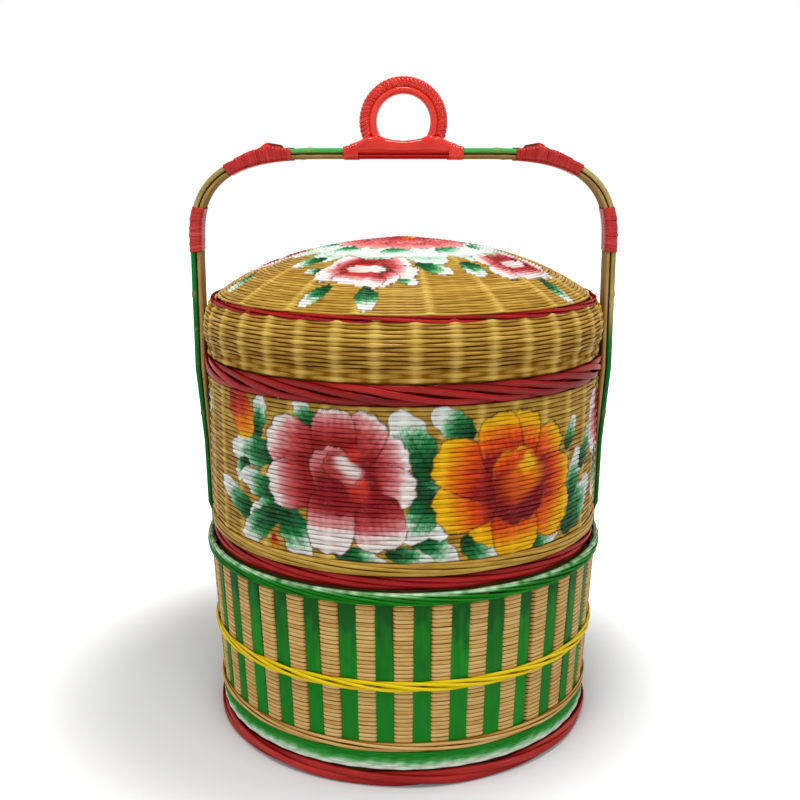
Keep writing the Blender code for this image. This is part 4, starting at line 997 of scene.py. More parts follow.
def lower_wefts():
    low, high = 26.0 * MM, 147.0 * MM
    heights = np.arange(low, high, WEFT_PITCH)
    slope = -math.atan2(BASE_WALL_TOP_RADIUS - BASE_WALL_FOOT_RADIUS, BASE_WALL_HIGH - BASE_WALL_LOW)
    rows = [(base_wall_radius(z) - 0.75 * MM, z, slope) for z in heights]
    sections = oval(SECTION_POINTS, 0.95 * MM, 1.62 * MM, 2.1), oval(SECTION_POINTS, 0.7 * MM, 1.25 * MM, 2.1)
    half = len(rows) // 2
    woven("base_wefts_low", rows[:half], SLAT_WEFT_STATIONS, slatted_weave, sections, TAWNY, "lower_tier",
          ("base_wall",), seed=11)
    woven("base_wefts_high", rows[half:], SLAT_WEFT_STATIONS, slatted_weave, sections, TAWNY, "lower_tier",
          seed=13)
    low_rows = [(base_wall_radius(z) - 0.75 * MM, z, slope) for z in np.arange(13.9 * MM, low - MM, WEFT_PITCH)]
    woven("base_foot_wefts", low_rows, STATIONS, slatted_weave, sections, TAWNY, "lower_tier",
          seed=12)


def band_paint(turn, height, radius):
    """The green of the band at the foot, paler towards its lower edge."""
    share = smooth(height + 0.9 * MM * brush(turn * 20.0, height / MM * 0.3, 4), 23.5 * MM, 14.0 * MM)
    colour = tone(share, ((0.0, (0.014, 0.30, 0.02)), (0.45, (0.10, 0.52, 0.12)), (0.75, (0.52, 0.86, 0.52)),
                          (1.0, (0.90, 0.98, 0.86))))
    return np.concatenate([colour, np.ones_like(share)[..., None]], axis=-1)


def slats():
    pitch = math.tau / SLATS
    rng = np.random.default_rng(5)
    heights = np.linspace(12.9 * MM, 147.6 * MM, SLAT_STATIONS)
    section = oval(SLAT_SECTION_POINTS, SLAT_HALF_THICKNESS, 1.0, 3.2)
    grids, seeds = [], []
    for number in range(SLATS):
        middle = (number + 0.5) * pitch + rng.normal(0.0, 0.009)
        lean = rng.normal(0.0, 0.0045)
        roll = rng.normal(0.0, 0.04)
        half = SLAT_SHARE * pitch / 2.0 * base_wall_radius(heights.mean()) * (1.0 + rng.normal(0.0, 0.10))
        half = half * (1.0 + 0.015 * np.sin(heights * 60.0 + number))
        share = (heights - heights.mean()) / (heights[-1] - heights[0])
        angle = middle + lean * share
        outward, across = turn_of(angle), np.stack([np.cos(angle), np.sin(angle), np.zeros_like(angle)], axis=-1)
        bow = 0.12 * MM * np.sin(heights * 190.0 + number * 1.7)
        bow = bow - 0.5 * MM * smooth(heights, 130.0 * MM, 142.0 * MM)
        radius = base_wall_radius(heights) + 0.3 * MM + SLAT_HALF_THICKNESS + bow
        side = section[None, :, 1] * half[:, None]
        crown = -(side ** 2) / (2.0 * 120.0 * MM)
        out = section[None, :, 0] + crown + roll * side
        place = (radius[:, None] + out)[..., None] * outward[:, None, :] + side[..., None] * across[:, None, :]
        grids.append(place + heights[:, None, None] * UP)
        seeds.append(rng.uniform())
    points = np.stack(grids)
    along = np.broadcast_to(heights, (SLATS, SLAT_STATIONS))
    flat = np.zeros((SLATS, SLAT_STATIONS))
    fields = strand_fields(points, along, np.array(seeds), flat, flat)
    strands("slats", points, False, GREEN, "lower_tier", ("slat_cage",), fields, slat_shade_and_sheen(points))


def slat_shade_and_sheen(points):
    """Painted light on the slats: painted shade of deep green under the rim, and a painted sheen of fuller green
    towards the foot.
    """
    height = points[..., 2]
    angle = np.arctan2(points[..., 0], -points[..., 1])
    streak = brush(angle * 40.0, height / MM * 0.08, 6)
    low = 1.0 - smooth(height + 9.0 * MM * streak, 62.0 * MM, 112.0 * MM)
    high = smooth(height + 12.0 * MM * streak, 96.0 * MM, 132.0 * MM)
    colour = np.array((0.016, 0.30, 0.026)) * (1.0 - high[..., None]) + np.array((0.001, 0.085, 0.006)) * high[..., None]
    cover = np.clip(0.60 * low + 0.75 * high, 0.0, 1.0)
    return np.concatenate([colour, cover[..., None]], axis=-1)


def lower_cords():
    section = oval(SECTION_POINTS, 0.95 * MM, 1.15 * MM, 2.2)
    # Pale green along the rim's top edge is a painted highlight
    cord("green_rim", 153.9 * MM, 143.5 * MM, 9, 4, section, (1.7 * MM, 3.4 * MM), GREEN, "lower_tier",
         ("base_rim_weave",), 21,
         edge_highlight((0.58, 0.90, 0.56), 145.2 * MM, 147.6 * MM, 1.0, 3), power=3.5)
    section = oval(SECTION_POINTS, 0.85 * MM, 1.25 * MM, 2.3)
    cord("waist_cord", base_wall_radius(78.2 * MM) + 3.1 * MM, 78.2 * MM, 4, 7, section, (0.75 * MM, 2.6 * MM),
         YELLOW, "lower_tier", ("waist_cane_a", "waist_cane_b"), 22, power=2.4)
    section = oval(SECTION_POINTS, 0.8 * MM, 1.3 * MM, 2.3)
    cord("natural_band", base_wall_radius(30.4 * MM) + 2.4 * MM, 30.4 * MM, 4, 3, section, (0.9 * MM, 2.1 * MM),
         TAWNY, "lower_tier", ("base_band_natural",), 23, power=3.5)
    slope = -math.atan2(BASE_WALL_TOP_RADIUS - BASE_WALL_FOOT_RADIUS, BASE_WALL_HIGH - BASE_WALL_LOW)
    rows = [(base_wall_radius(z) + 2.3 * MM, z, slope) for z in (13.9 + 1.95 * np.arange(7)) * MM]
    section = oval(SECTION_POINTS, 0.85 * MM, 1.15 * MM, 2.2)
    woven("green_band", rows, STATIONS, plain_weave(96, 0.22 * MM, 0.0, 0.2, gloom=0.2), (section, section), GREEN,
          "lower_tier", ("base_band_green",), band_paint, seed=24)
    section = oval(SECTION_POINTS, 1.3 * MM, 3.1 * MM, 2.6)
    cord("foot_cord", 147.2 * MM, 6.1 * MM, 3, 3, section, (1.4 * MM, 2.8 * MM), KNOT_RED, "lower_tier",
         ("foot_cane_a", "foot_cane_b"), 25, power=2.3)


# Upper tier

def upper_tier():
    foot, top = 169.6 * MM, 290.0 * MM
    count = round((276.5 * MM - foot) / ROW_PITCH)
    heights = foot + np.arange(count) * ROW_PITCH
    rows = [(149.9 * MM, z, 0.0) for z in heights]
    sections = oval(SECTION_POINTS, 0.95 * MM, 1.66 * MM, 2.6), pinched(0.95 * MM, 1.66 * MM)
    pattern = plain_weave(STAKES, 0.28 * MM, 0.42 * MM, 0.13, pinch=0.45, gloom=0.3)
    for number, name in enumerate(("upper_wefts_low", "upper_wefts_middle", "upper_wefts_high", "upper_wefts_top")):
        part = rows[number * ROWS_IN_A_PIECE:(number + 1) * ROWS_IN_A_PIECE]
        woven(name, part, FINE_STATIONS, pattern, sections, PAINTED, "upper_tier",
              ("upper_wall",) if number == 0 else (), paint_wall, seed=31 + number)
    neck = [(146.2 * MM, z, 0.0) for z in np.arange(heights[-1] + ROW_PITCH, top, ROW_PITCH)]
    woven("upper_neck_wefts", neck, STATIONS, pattern, sections, NATURAL, "upper_tier", seed=34)
    section = oval(SECTION_POINTS, 0.85 * MM, 1.45 * MM, 2.3)
    cord("upper_base_rows", 150.5 * MM, 163.3 * MM, 7, 2, section, (0.8 * MM, 3.3 * MM), NATURAL, "upper_tier",
         ("upper_base_band",), 34, power=3.5)
    section = oval(SECTION_POINTS, 1.15 * MM, 2.5 * MM, 2.6)
    cord("upper_rim_cord", 150.6 * MM, 283.0 * MM, 5, 5, section, (1.8 * MM, 4.7 * MM), RED_IN_LID_SHADE, "upper_tier",
         ("upper_rim_cane_a", "upper_rim_cane_b"), 35, power=3.0)
    section = oval(SECTION_POINTS, 1.15 * MM, 2.2 * MM, 2.6)
    cord("upper_foot_cord", 148.7 * MM, 153.3 * MM, 4, 4, section, (1.5 * MM, 2.6 * MM), RED, "upper_tier",
         ("upper_foot_cane_a", "upper_foot_cane_b"), 36, power=2.6)


# Lid

def lid_band_profile():
    low, tall = 300.4 * MM, 29.6 * MM
    nominal = 153.3 * MM
    shares = ((0.0, -0.013), (0.12, -0.005), (0.3, 0.0), (0.5, -0.001), (0.75, -0.010), (0.92, -0.025), (1.0, -0.042))
    return [(nominal * (1.0 + r) - 1.0 * MM, low + tall * z) for z, r in shares]


def dome_height(radius):
    """The dome's outer face as one smooth curve through its known places."""
    profile = np.array(DOME_PROFILE) * MM
    scale = profile[-1, 0]
    curve = np.polyfit(profile[:, 0] / scale, profile[:, 1], 4)
    return np.polyval(curve, radius / scale)


def lid():
    sections = oval(SECTION_POINTS, 0.95 * MM, 1.50 * MM, 3.2), pinched(0.95 * MM, 1.50 * MM)
    rows = along_profile(lid_band_profile(), BAND_ROW_PITCH)
    rows += [(144.8 * MM, 330.4 * MM, math.radians(75.0))]
    pattern = plain_weave(STAKES, 0.25 * MM, 0.75 * MM, 0.17, gloom=0.35, start=0.05)
    woven("lid_band_wefts", rows, STATIONS, pattern, sections, NATURAL, "lid", ("lid_band",), seed=41)
    section = oval(SECTION_POINTS, 1.25 * MM, 1.75 * MM, 2.4)
    hem = [(149.4 * MM, z, 0.0) for z in (292.5 * MM, 295.5 * MM, 298.5 * MM)]
    woven("lid_hem_wefts", hem, STATIONS, plain_weave(STAKES, 0.3 * MM, 0.6 * MM, 0.2, gloom=0.8, start=0.05),
          (section, section), NATURAL, "lid", ("lid_hem",), seed=42)
    radii = np.linspace(142.6, 4.0, 400) * MM
    profile = [(r, dome_height(r) - 0.9 * MM) for r in radii]
    rows = along_profile(profile, DOME_ROW_PITCH)
    sections = oval(SECTION_POINTS, 0.9 * MM, 1.42 * MM, 3.0), pinched(0.9 * MM, 1.42 * MM)
    pieces = (
        ("dome_wefts_rim", 119.0, 200.0, DOME_STATIONS, STAKES, 2, ("lid_dome",)),
        ("dome_wefts_outer", 94.0, 119.0, DOME_STATIONS, STAKES, 2, ()),
        ("dome_wefts_middle", 48.0, 94.0, STATIONS, STAKES, 2, ()),
        ("dome_wefts_inner", 0.0, 48.0, STATIONS // 2, STAKES // 2, 1, ()),
    )
    for number, (name, inner, outer, stations, stakes, every, replaced) in enumerate(pieces):
        part = [row for row in rows if inner * MM <= row[0] < outer * MM]
        pattern = plain_weave(stakes, 0.10 * MM, 0.7 * MM, 0.14, pinch=0.4, gloom=0.18, start=0.122, every=every)
        woven(name, part, stations, pattern, sections, PAINTED, "lid", replaced, paint_dome,
              seed=43 + number)
    dome_boss()
    section = oval(SECTION_POINTS, 0.9 * MM, 1.15 * MM, 2.2)
    cord("shoulder_cord", 146.2 * MM, 331.6 * MM, 3, 4, section, (1.1 * MM, 1.7 * MM), RED, "lid",
         ("shoulder_cane_a", "shoulder_cane_b"), 47)


def dome_boss():
    """The small coiled start of the weave, at the very top."""
    count = 220
    share = np.linspace(0.0, 1.0, count)
    radius = 4.6 * MM * share
    angle = share * math.tau * 2.5
    outward = turn_of(angle)
    side = np.stack([np.cos(angle), np.sin(angle), np.zeros_like(angle)], axis=-1)
    section = oval(SECTION_POINTS, 0.9 * MM, 1.0 * MM, 2.2)
    middle = outward * radius[:, None] + (dome_height(radius) - 0.7 * MM)[:, None] * UP
    points = middle[:, None, :] + section[None, :, 0:1] * outward[:, None, :] + section[None, :, 1:2] * UP
    points = points[None]
    along = (share * 0.05)[None]
    flat = np.zeros((1, count))
    fields = strand_fields(points, along, np.array([0.4]), flat, flat)
    turn = np.arctan2(points[..., 0], -points[..., 1])
    colour = paint_dome(turn, points[..., 2], np.hypot(points[..., 0], points[..., 1]))
    strands("dome_boss", points, False, PAINTED, "lid", (), fields, colour)


# Handle

def joint_line(lowest, count=420):
    """The right half of the handle's joint line from the middle of the top down: x, z, run and outward normal."""
    angle = np.linspace(math.pi / 2.0, 0.0, 160)
    across = LEG_TOP_X - ARCH_FLAT_HALF
    arch_x = ARCH_FLAT_HALF + across * np.clip(np.cos(angle), 0.0, 1.0) ** (2.0 / ARCH_POWER)
    arch_z = ARCH_SPRING + (JOINT_TOP - ARCH_SPRING) * np.sin(angle) ** (2.0 / ARCH_POWER)
    leg = [
        (LEG_TOP_X, 290.1 * MM),
        (LEG_TOP_X, 275.7 * MM),
        (LEG_WAIST_X, LEG_WAIST_HEIGHT),
        (LEG_TIP_X, LEG_TIP_HEIGHT),
        (LEG_ROOT_X, 158.5 * MM),
        (LEG_ROOT_X, 148.4 * MM),
        (LEG_RIM_X, LEG_RIM_HEIGHT),
        (LEG_FOOT_X, LEG_FOOT_HEIGHT),
    ]
    x = np.concatenate([[0.0], arch_x, [p[0] for p in leg]])
    z = np.concatenate([[JOINT_TOP], arch_z, [p[1] for p in leg]])
    run = np.concatenate([[0.0], np.cumsum(np.hypot(np.diff(x), np.diff(z)))])
    end = np.interp(-lowest, -z, run)
    at = np.linspace(0.0, end, count)
    x, z = np.interp(at, run, x), np.interp(at, run, z)
    kernel = np.ones(7) / 7.0
    slope_x, slope_z = np.gradient(x, at), np.gradient(z, at)
    slope_x = np.convolve(np.pad(slope_x, 3, mode="edge"), kernel, mode="valid")
    slope_z = np.convolve(np.pad(slope_z, 3, mode="edge"), kernel, mode="valid")
    size = np.hypot(slope_x, slope_z)
    return x, z, at, np.stack([-slope_z / size, slope_x / size], axis=-1), np.stack([slope_x, slope_z], axis=-1)


def strip_sizes(z):
    """Half width and both thicknesses of the handle's strips at a height on a leg."""
    known = (LEG_FOOT_HEIGHT, 158.5 * MM, LEG_TIP_HEIGHT, LEG_WAIST_HEIGHT, 275.7 * MM, ARCH_SPRING)
    half = np.interp(z, known, np.array([4.6, 4.6, 4.6, 7.3, 10.0, 10.0]) * MM)
    outer = np.interp(z, known, np.array([2.4, 2.4, 3.4, 3.4, 4.4, 4.4]) * MM)
    inner = np.interp(z, known, np.array([1.2, 1.2, 1.2, 2.0, 3.6, 3.6]) * MM)
    return half, outer, inner


def handle_strip(name, lowest, outside, nodes, paint, replaced, colour, seed):
    """One bent strip of the handle, with the swellings of the bamboo's own joints."""
    x, z, run, normal, _ = joint_line(lowest)
    half, outer, inner = strip_sizes(z)
    thick = outer if outside else inner
    swell = np.zeros_like(run)
    for place_at in nodes:
        swell += np.exp(-((run - place_at) / (2.2 * MM)) ** 2)
    base = oval(16, 0.5, 1.0, 6.0)
    grids = []
    for side in (1.0, -1.0):
        tall = thick * (1.0 + 0.10 * swell)
        wide = half * (1.0 + 0.05 * swell)
        middle = (STRIP_GAP + tall) / 2.0 if outside else -(STRIP_GAP + tall) / 2.0
        out = middle[:, None] + base[None, :, 0] * tall[:, None]
        wave = 0.12 * MM * np.sin(run * 120.0 + seed)
        y = base[None, :, 1] * wide[:, None] + wave[:, None]
        px = (x[:, None] + out * normal[:, :1]) * side
        pz = z[:, None] + out * normal[:, 1:]
        grids.append(np.stack([px, y, pz], axis=-1))
    points = np.concatenate([grids[0][::-1], grids[1][1:]])[None]
    distance = np.concatenate([run[::-1], -run[1:]])[None]
    worn = np.concatenate([swell[::-1], swell[1:]])[None]
    flat = np.zeros_like(worn)
    fields = strand_fields(points, distance, np.array([0.37 + 0.1 * seed]), flat, np.clip(worn, 0.0, 1.0), 0.0)
    shades = colour(points, np.clip(worn, 0.0, 1.0), np.broadcast_to(base[:, 0] + 0.5, points.shape[:3]))
    return strands(name, points, False, paint, "lower_tier", replaced, fields, shades)


RED_SPAN = 43.0 * MM
SCARLET_TINT = (0.74, 0.034, 0.02)
GREEN_TINT = (0.012, 0.28, 0.05)
JOINT_SHADE = (0.045, 0.022, 0.006)


def outer_strip_colour(points, worn, outness):
    """Green along the top and down the legs, lighter on the bar's top partly as a painted highlight, with the red of
    the ring's seat, bare bends, and painted shade where it meets the inner strip.
    """
    x, z = points[..., 0], points[..., 2]
    red = 1.0 - smooth(np.abs(x), RED_SPAN - MM, RED_SPAN + MM)
    # The bar's top takes the lighter green, partly its paint and partly a painted highlight
    top = smooth(z, 436.0 * MM, 441.0 * MM) * (1.0 - smooth(np.abs(x), 100.0 * MM, 118.0 * MM))
    leg = 1.0 - smooth(z, np.where(x < 0.0, 364.0, 292.0) * MM, np.where(x < 0.0, 367.0, 332.0) * MM)
    edge = smooth(outness, 0.86, 0.98) * 0.5
    colour = np.array(LEG_GREEN_TINT) * (1.0 - top[..., None]) + np.array(BAR_GREEN_TINT) * top[..., None]
    colour = colour * (1.0 - red[..., None]) + np.array(SCARLET_TINT) * red[..., None]
    scratch = 0.5 + 0.5 * brush(x / MM * 0.4, z / MM * 0.4, 8)
    green = np.clip(np.maximum(np.maximum(top, leg), edge), 0.0, 1.0)
    cover = green * (1.0 - 0.6 * smooth(scratch, 1.1, 1.4)) * (1.0 - 0.25 * worn[..., None])
    bend = 0.55 * smooth(outness, 0.45, 0.80) * (1.0 - cover) * (0.7 + 0.3 * scratch)
    colour = colour * (1.0 - bend[..., None]) + np.array(BEND_TINT) * bend[..., None]
    cover = np.maximum(cover, bend)
    cover = np.maximum(cover, red)
    # Painted shade on the face against the inner strip
    seam = (1.0 - smooth(outness, 0.04, 0.24)) * (1.0 - 0.6 * red)
    colour = colour * (1.0 - seam[..., None]) + np.array(JOINT_SHADE) * seam[..., None]
    cover = np.maximum(cover, seam)
    return np.concatenate([colour, np.clip(cover, 0.0, 1.0)[..., None]], axis=-1)


def inner_strip_colour(points, worn, outness):
    """Bare bamboo with painted shade, dark next to the outer strip and darkened on its inner face and under the bar,
    and red under the ring.
    """
    x, z = points[..., 0], points[..., 2]
    red = 1.0 - smooth(np.abs(x), RED_SPAN - MM, RED_SPAN + MM)
    # Painted shade next to the outer strip, on the inner face and under the bar
    seam = smooth(outness, 0.84, 1.0) * 0.9
    face = (1.0 - smooth(outness, 0.0, 0.12)) * 0.35
    inner_shade = np.maximum(smooth(z, 405.0 * MM, 436.0 * MM) * 0.6, face)
    colour = np.array((0.20, 0.10, 0.03)) * (1.0 - seam[..., None]) + np.array(JOINT_SHADE) * seam[..., None]
    colour = colour * (1.0 - red[..., None]) + np.array((0.46, 0.012, 0.010)) * red[..., None]
    cover = np.maximum(np.maximum(seam, inner_shade), red)
    return np.concatenate([colour, np.clip(cover, 0.0, 1.0)[..., None]], axis=-1)


def handle_strips():
    nodes = (70.0 * MM, 236.0 * MM, 330.0 * MM)
    handle_strip("outer_strip", LEG_FOOT_HEIGHT, True, nodes, STRIP, ("handle_outer_strip",),
                 outer_strip_colour, 1)
    handle_strip("inner_strip", LEG_TIP_HEIGHT, False, (76.0 * MM, 270.0 * MM), STRIP,
                 ("handle_inner_strip",), inner_strip_colour, 2)


def seat_rise(share):
    """How far the wedge under the ring lifts the bindings at its ends."""
    known = np.array(SADDLE_PROFILE) * MM
    return np.interp(34.0 * MM + 10.0 * MM * share, known[:, 0], known[:, 1])


def wrap(name, start, length, pitch, over, under, paint, replaced, seed, steps=28):
    """A flat cane wound tightly round both strips, on the right and mirrored on the left.

    over and under are how much further out the wrap runs on each face, at shares of its length.
    """
    x, z, run, normal, along = joint_line(150.0 * MM, 900)
    turns_made = round(length / pitch)
    count = turns_made * steps + 1
    share = np.linspace(0.0, 1.0, count)
    at = start + length * share
    middle_x, middle_z = np.interp(at, run, x), np.interp(at, run, z)
    normal = np.stack([np.interp(at, run, normal[:, i]) for i in range(2)], axis=-1)
    along = np.stack([np.interp(at, run, along[:, i]) for i in range(2)], axis=-1)
    half, outer, inner = strip_sizes(middle_z)
    thick = 0.38 * MM
    ply = 0.22 * MM * wander(np.linspace(0.0, math.tau, turns_made + 1), seed, (3, 5, 8))
    ply = np.interp(share, np.linspace(0.0, 1.0, turns_made + 1), ply)
    high = STRIP_GAP / 2.0 + outer + thick + over(share) + ply
    low = -(STRIP_GAP / 2.0 + inner + thick) - under(share)
    phase = np.linspace(0.0, math.tau * turns_made, count)
    c, s = np.cos(phase), np.sin(phase)
    power = 7.0
    size = (np.abs(c) ** power + np.abs(s) ** power) ** (1.0 / power)
    tall, wide = (high - low) / 2.0, half + thick + ply
    out = (high + low) / 2.0 + c / size * tall
    y = s / size * wide
    face_out = np.sign(c) * np.abs(c / size) ** (power - 1.0) / tall
    face_y = np.sign(s) * np.abs(s / size) ** (power - 1.0) / wide
    length_of = np.hypot(face_out, face_y)
    face_out, face_y = face_out / length_of, face_y / length_of
    section = oval(SECTION_POINTS, thick, pitch * 0.66, 2.6)
    for side, word in ((1.0, "right"), (-1.0, "left")):
        middle = np.stack([(middle_x + out * normal[:, 0]) * side, y, middle_z + out * normal[:, 1]], axis=-1)
        face = np.stack([face_out * normal[:, 0] * side, face_y, face_out * normal[:, 1]], axis=-1)
        lie = np.stack([along[:, 0] * side, np.zeros(count), along[:, 1]], axis=-1)
        points = middle[:, None] + section[None, :, :1] * face[:, None] + section[None, :, 1:] * lie[:, None] * side
        points = points[None]
        distance = (phase / math.tau * 0.045)[None]
        flat = np.zeros((1, count))
        fields = strand_fields(points, distance, np.array([0.1 * seed + 0.03 * side]), flat, flat)
        nodes = tuple(f"{node}_{word}" for node in replaced)
        strands(f"{name}_{word}", points, False, paint, "lower_tier", nodes, fields)


SCARF_SHARES = (0.08, 0.92)
SCARF_PEAK = 0.30


def scarf_height(share):
    inside = np.clip((share - SCARF_SHARES[0]) / (SCARF_SHARES[1] - SCARF_SHARES[0]), 0.0, 1.0)
    up = np.clip(inside / SCARF_PEAK, 0.0, 1.0) ** 1.2
    down = np.clip((1.0 - inside) / (1.0 - SCARF_PEAK), 0.0, 1.0)
    return 3.6 * MM * np.minimum(up, down)


def none_more(share):
    return np.zeros_like(share)


def run_where(height=None, across=None):
    x, z, run, _, _ = joint_line(150.0 * MM, 900)
    if across is not None:
        return float(np.interp(across, x, run))
    return float(np.interp(-height, -z, run))


def handle_wraps():
    leg_start = run_where(height=366.0 * MM) - 33.0 * MM
    wrap("leg_wrap", leg_start, 33.0 * MM, 2.3 * MM, none_more, none_more, KNOT_RED, ("leg_winding",), 1)
    corner = run_where(across=84.0 * MM)
    wrap("corner_wrap", corner, 50.0 * MM, 2.3 * MM, scarf_height, none_more, KNOT_RED, ("corner_winding",), 2)
    wrap("grip_bind", 34.0 * MM, 10.0 * MM, 2.2 * MM, seat_rise, none_more, SCARLET, ("grip_binding",), 3)
SCARF_NOTCH_SHADE = (0.07, 0.022, 0.010)


def scarfs():
    """The pointed splice on each corner, under its wrap, with its cut end showing at the peak and painted dark there as
    the shade of the notch.
    """
    x, z, run, normal, _ = joint_line(150.0 * MM, 900)
    start = run_where(across=84.0 * MM)
    count = 60
    inside = np.linspace(0.12, 0.62, count)
    at = start + 50.0 * MM * inside
    base = oval(16, 0.5, 1.0, 5.0)
    lift = 2.2 * MM * smooth(inside, 0.12, 0.15) * (1.0 - smooth(inside, 0.36, 0.50))
    tall = scarf_height(inside) + 0.4 * MM + lift
    wide = 6.0 * MM * (1.0 - 0.7 * (inside - 0.12))
    peak = SCARF_SHARES[0] + (SCARF_SHARES[1] - SCARF_SHARES[0]) * SCARF_PEAK
    for side, word in ((1.0, "right"), (-1.0, "left")):
        px, pz = np.interp(at, run, x), np.interp(at, run, z)
        nx, nz = np.interp(at, run, normal[:, 0]), np.interp(at, run, normal[:, 1])
        out = (STRIP_GAP / 2.0 + OUTER_STRIP + tall / 2.0)[:, None] + base[None, :, 0] * tall[:, None]
        y = base[None, :, 1] * wide[:, None] * side
        points = np.stack([(px[:, None] + out * nx[:, None]) * side, y, pz[:, None] + out * nz[:, None]], axis=-1)[None]
        flat = np.zeros((1, count))
        fields = strand_fields(points, at[None], np.array([0.5]), flat, flat, 0.0)
        # Painted shade on the splice's outer face up to the peak
        cut = (1.0 - smooth(inside, peak - 0.03, peak))[None, :, None] * smooth(base[:, 0], -0.1, 0.3)
        colour = np.array(SCARLET_TINT) * (1.0 - cut[..., None]) + np.array(SCARF_NOTCH_SHADE) * cut[..., None]
        colour = np.concatenate([colour, np.ones_like(cut[..., None])], axis=-1)
        strands(f"scarf_{word}", points, False, STRIP, "lower_tier", (f"corner_scarf_{word}",), fields,
                colour)


# Hand ring

RING_MIDDLE = 461.6 * MM
RING_OUTER_CANE = 28.6 * MM
RING_INNER_CANE = 23.2 * MM
BAR_TOP = 442.6 * MM


def ring_path(radius, open_degrees, foot_x, foot_lift, count=150):
    """A ring open at its foot, with its two ends splayed out along the bar: x, z and the run along them."""
    opening = math.radians(open_degrees)
    angle = np.linspace(-opening, math.pi + opening, count)
    x, z = radius * np.cos(angle), RING_MIDDLE + radius * np.sin(angle)
    share = np.linspace(1.0, 0.0, 40, endpoint=False)[:, None]
    start = np.array([x[0], z[0]])
    heading = np.array([-math.sin(angle[0]), math.cos(angle[0])]) * -1.0
    end = np.array([foot_x, BAR_TOP + foot_lift])
    pull = np.hypot(*(end - start))
    p1 = start + heading * pull * 0.34
    p2 = end - np.array([1.0, -0.22]) * pull * 0.62
    curve = (1 - share) ** 3 * start + 3 * (1 - share) ** 2 * share * p1 + 3 * (1 - share) * share ** 2 * p2
    curve = curve + share ** 3 * end
    x = np.concatenate([curve[:, 0], x, -curve[::-1, 0]])
    z = np.concatenate([curve[:, 1], z, curve[::-1, 1]])
    run = np.concatenate([[0.0], np.cumsum(np.hypot(np.diff(x), np.diff(z)))])
    return x, z, run


def tube_points(x, z, run, section, count, scale=None):
    """A cane of the given section along a path in the plane of X and Z."""
    at = np.linspace(0.0, run[-1], count)
    px, pz = np.interp(at, run, x), np.interp(at, run, z)
    tx, tz = np.gradient(px, at), np.gradient(pz, at)
    size = np.hypot(tx, tz)
    tx, tz = tx / size, tz / size
    scale = np.ones(count) if scale is None else scale
    out = section[None, :, 0] * scale[:, None]
    side = section[None, :, 1] * scale[:, None]
    points = np.stack([
        px[:, None] + out * tz[:, None],
        side,
        pz[:, None] - out * tx[:, None],
    ], axis=-1)
    return points[None], at


def ring_canes():
    for name, radius, half_depth, half_width, opening, foot, lift, replaced in (
        ("ring_outer_cane", RING_OUTER_CANE, 3.4 * MM, 4.6 * MM, 20.0, 40.0 * MM, 0.9 * MM, ("grip_ring",)),
        ("ring_inner_cane", RING_INNER_CANE, 3.1 * MM, 5.8 * MM, 30.0, 26.0 * MM, 1.4 * MM, ()),
    ):
        x, z, run = ring_path(radius, opening, foot, lift)
        count = 260
        share = np.abs(np.linspace(-1.0, 1.0, count))
        taper = 1.0 - 0.40 * smooth(share, 0.80, 1.0)
        section = oval(14, half_depth, half_width, 2.3)
        points, at = tube_points(x, z, run, section, count, taper)
        flat = np.zeros((1, count))
        fields = strand_fields(points, at[None], np.array([0.6]), flat, flat, 0.0)
        strands(name, points, False, SCARLET, "lower_tier", replaced, fields)


def ring_wrap():
    """The fine cane wound round the outer part of the ring."""
    steps, pitch = 26, 2.9 * MM
    opening = math.radians(21.0)
    span = math.pi + 2.0 * opening
    made = round(span * RING_OUTER_CANE / pitch)
    count = made * steps + 1
    angle = np.linspace(-opening, math.pi + opening, count)
    phase = np.linspace(0.0, math.tau * made, count)
    angle = angle + 0.045 * np.cos(phase)
    outward = np.stack([np.cos(angle), np.zeros(count), np.sin(angle)], axis=-1)
    along = np.stack([-np.sin(angle), np.zeros(count), np.cos(angle)], axis=-1)
    depth, width = 3.9 * MM, 5.2 * MM
    c, s = np.cos(phase), np.sin(phase)
    middle = outward * (RING_OUTER_CANE + c * depth)[:, None] + UP * RING_MIDDLE
    middle[:, 1] += s * width
    face = outward * (c / depth)[:, None]
    face[:, 1] += s / width
    face /= np.linalg.norm(face, axis=1)[:, None]
    section = oval(SECTION_POINTS, 0.8 * MM, pitch * 0.56, 2.2)
    points = (middle[:, None] + section[None, :, :1] * face[:, None] - section[None, :, 1:] * along[:, None])[None]
    distance = (phase / math.tau * 0.03)[None]
    flat = np.zeros((1, count))
    fields = strand_fields(points, distance, np.array([0.8]), flat, flat)
    strands("ring_wrap", points, False, SCARLET, "lower_tier", ("grip_winding",), fields)
SADDLE_PROFILE = (  # distance from the middle and height above the bar, in millimetres
    (0.0, 5.2), (8.0, 5.9), (14.0, 7.2), (18.0, 9.0), (21.0, 10.0), (23.5, 8.2), (26.0, 8.6), (28.0, 7.8),
    (32.6, 4.6), (38.0, 2.0), (43.0, 0.4),
)


def saddle():
    """The wedge under the ring, hollowed on top to carry on the round of the hole, and drawn out along the bar."""
    count = 120
    x = np.linspace(-43.0, 43.0, count) * MM
    known = np.array(SADDLE_PROFILE) * MM
    low = BAR_TOP - 4.0 * MM
    top = BAR_TOP + np.interp(np.abs(x), known[:, 0], known[:, 1])
    base = oval(20, 0.5, 1.0, 6.0)
    tall = top - low
    z = (low + tall / 2.0)[:, None] + base[None, :, 0] * tall[:, None]
    y = np.broadcast_to(base[None, :, 1] * 10.3 * MM, z.shape)
    points = np.stack([np.broadcast_to(x[:, None], z.shape), y, z], axis=-1)[None]
    flat = np.zeros((1, count))
    fields = strand_fields(points, x[None], np.array([0.2]), flat, flat, 0.0)
    strands("saddle", points, False, SCARLET, "lower_tier", ("grip_saddle",), fields)
# Middle of the patch of floor left grey round the foot, where the shadow shows
FLOOR_SHADE_MIDDLE = (-0.045, 0.03, 0.0)


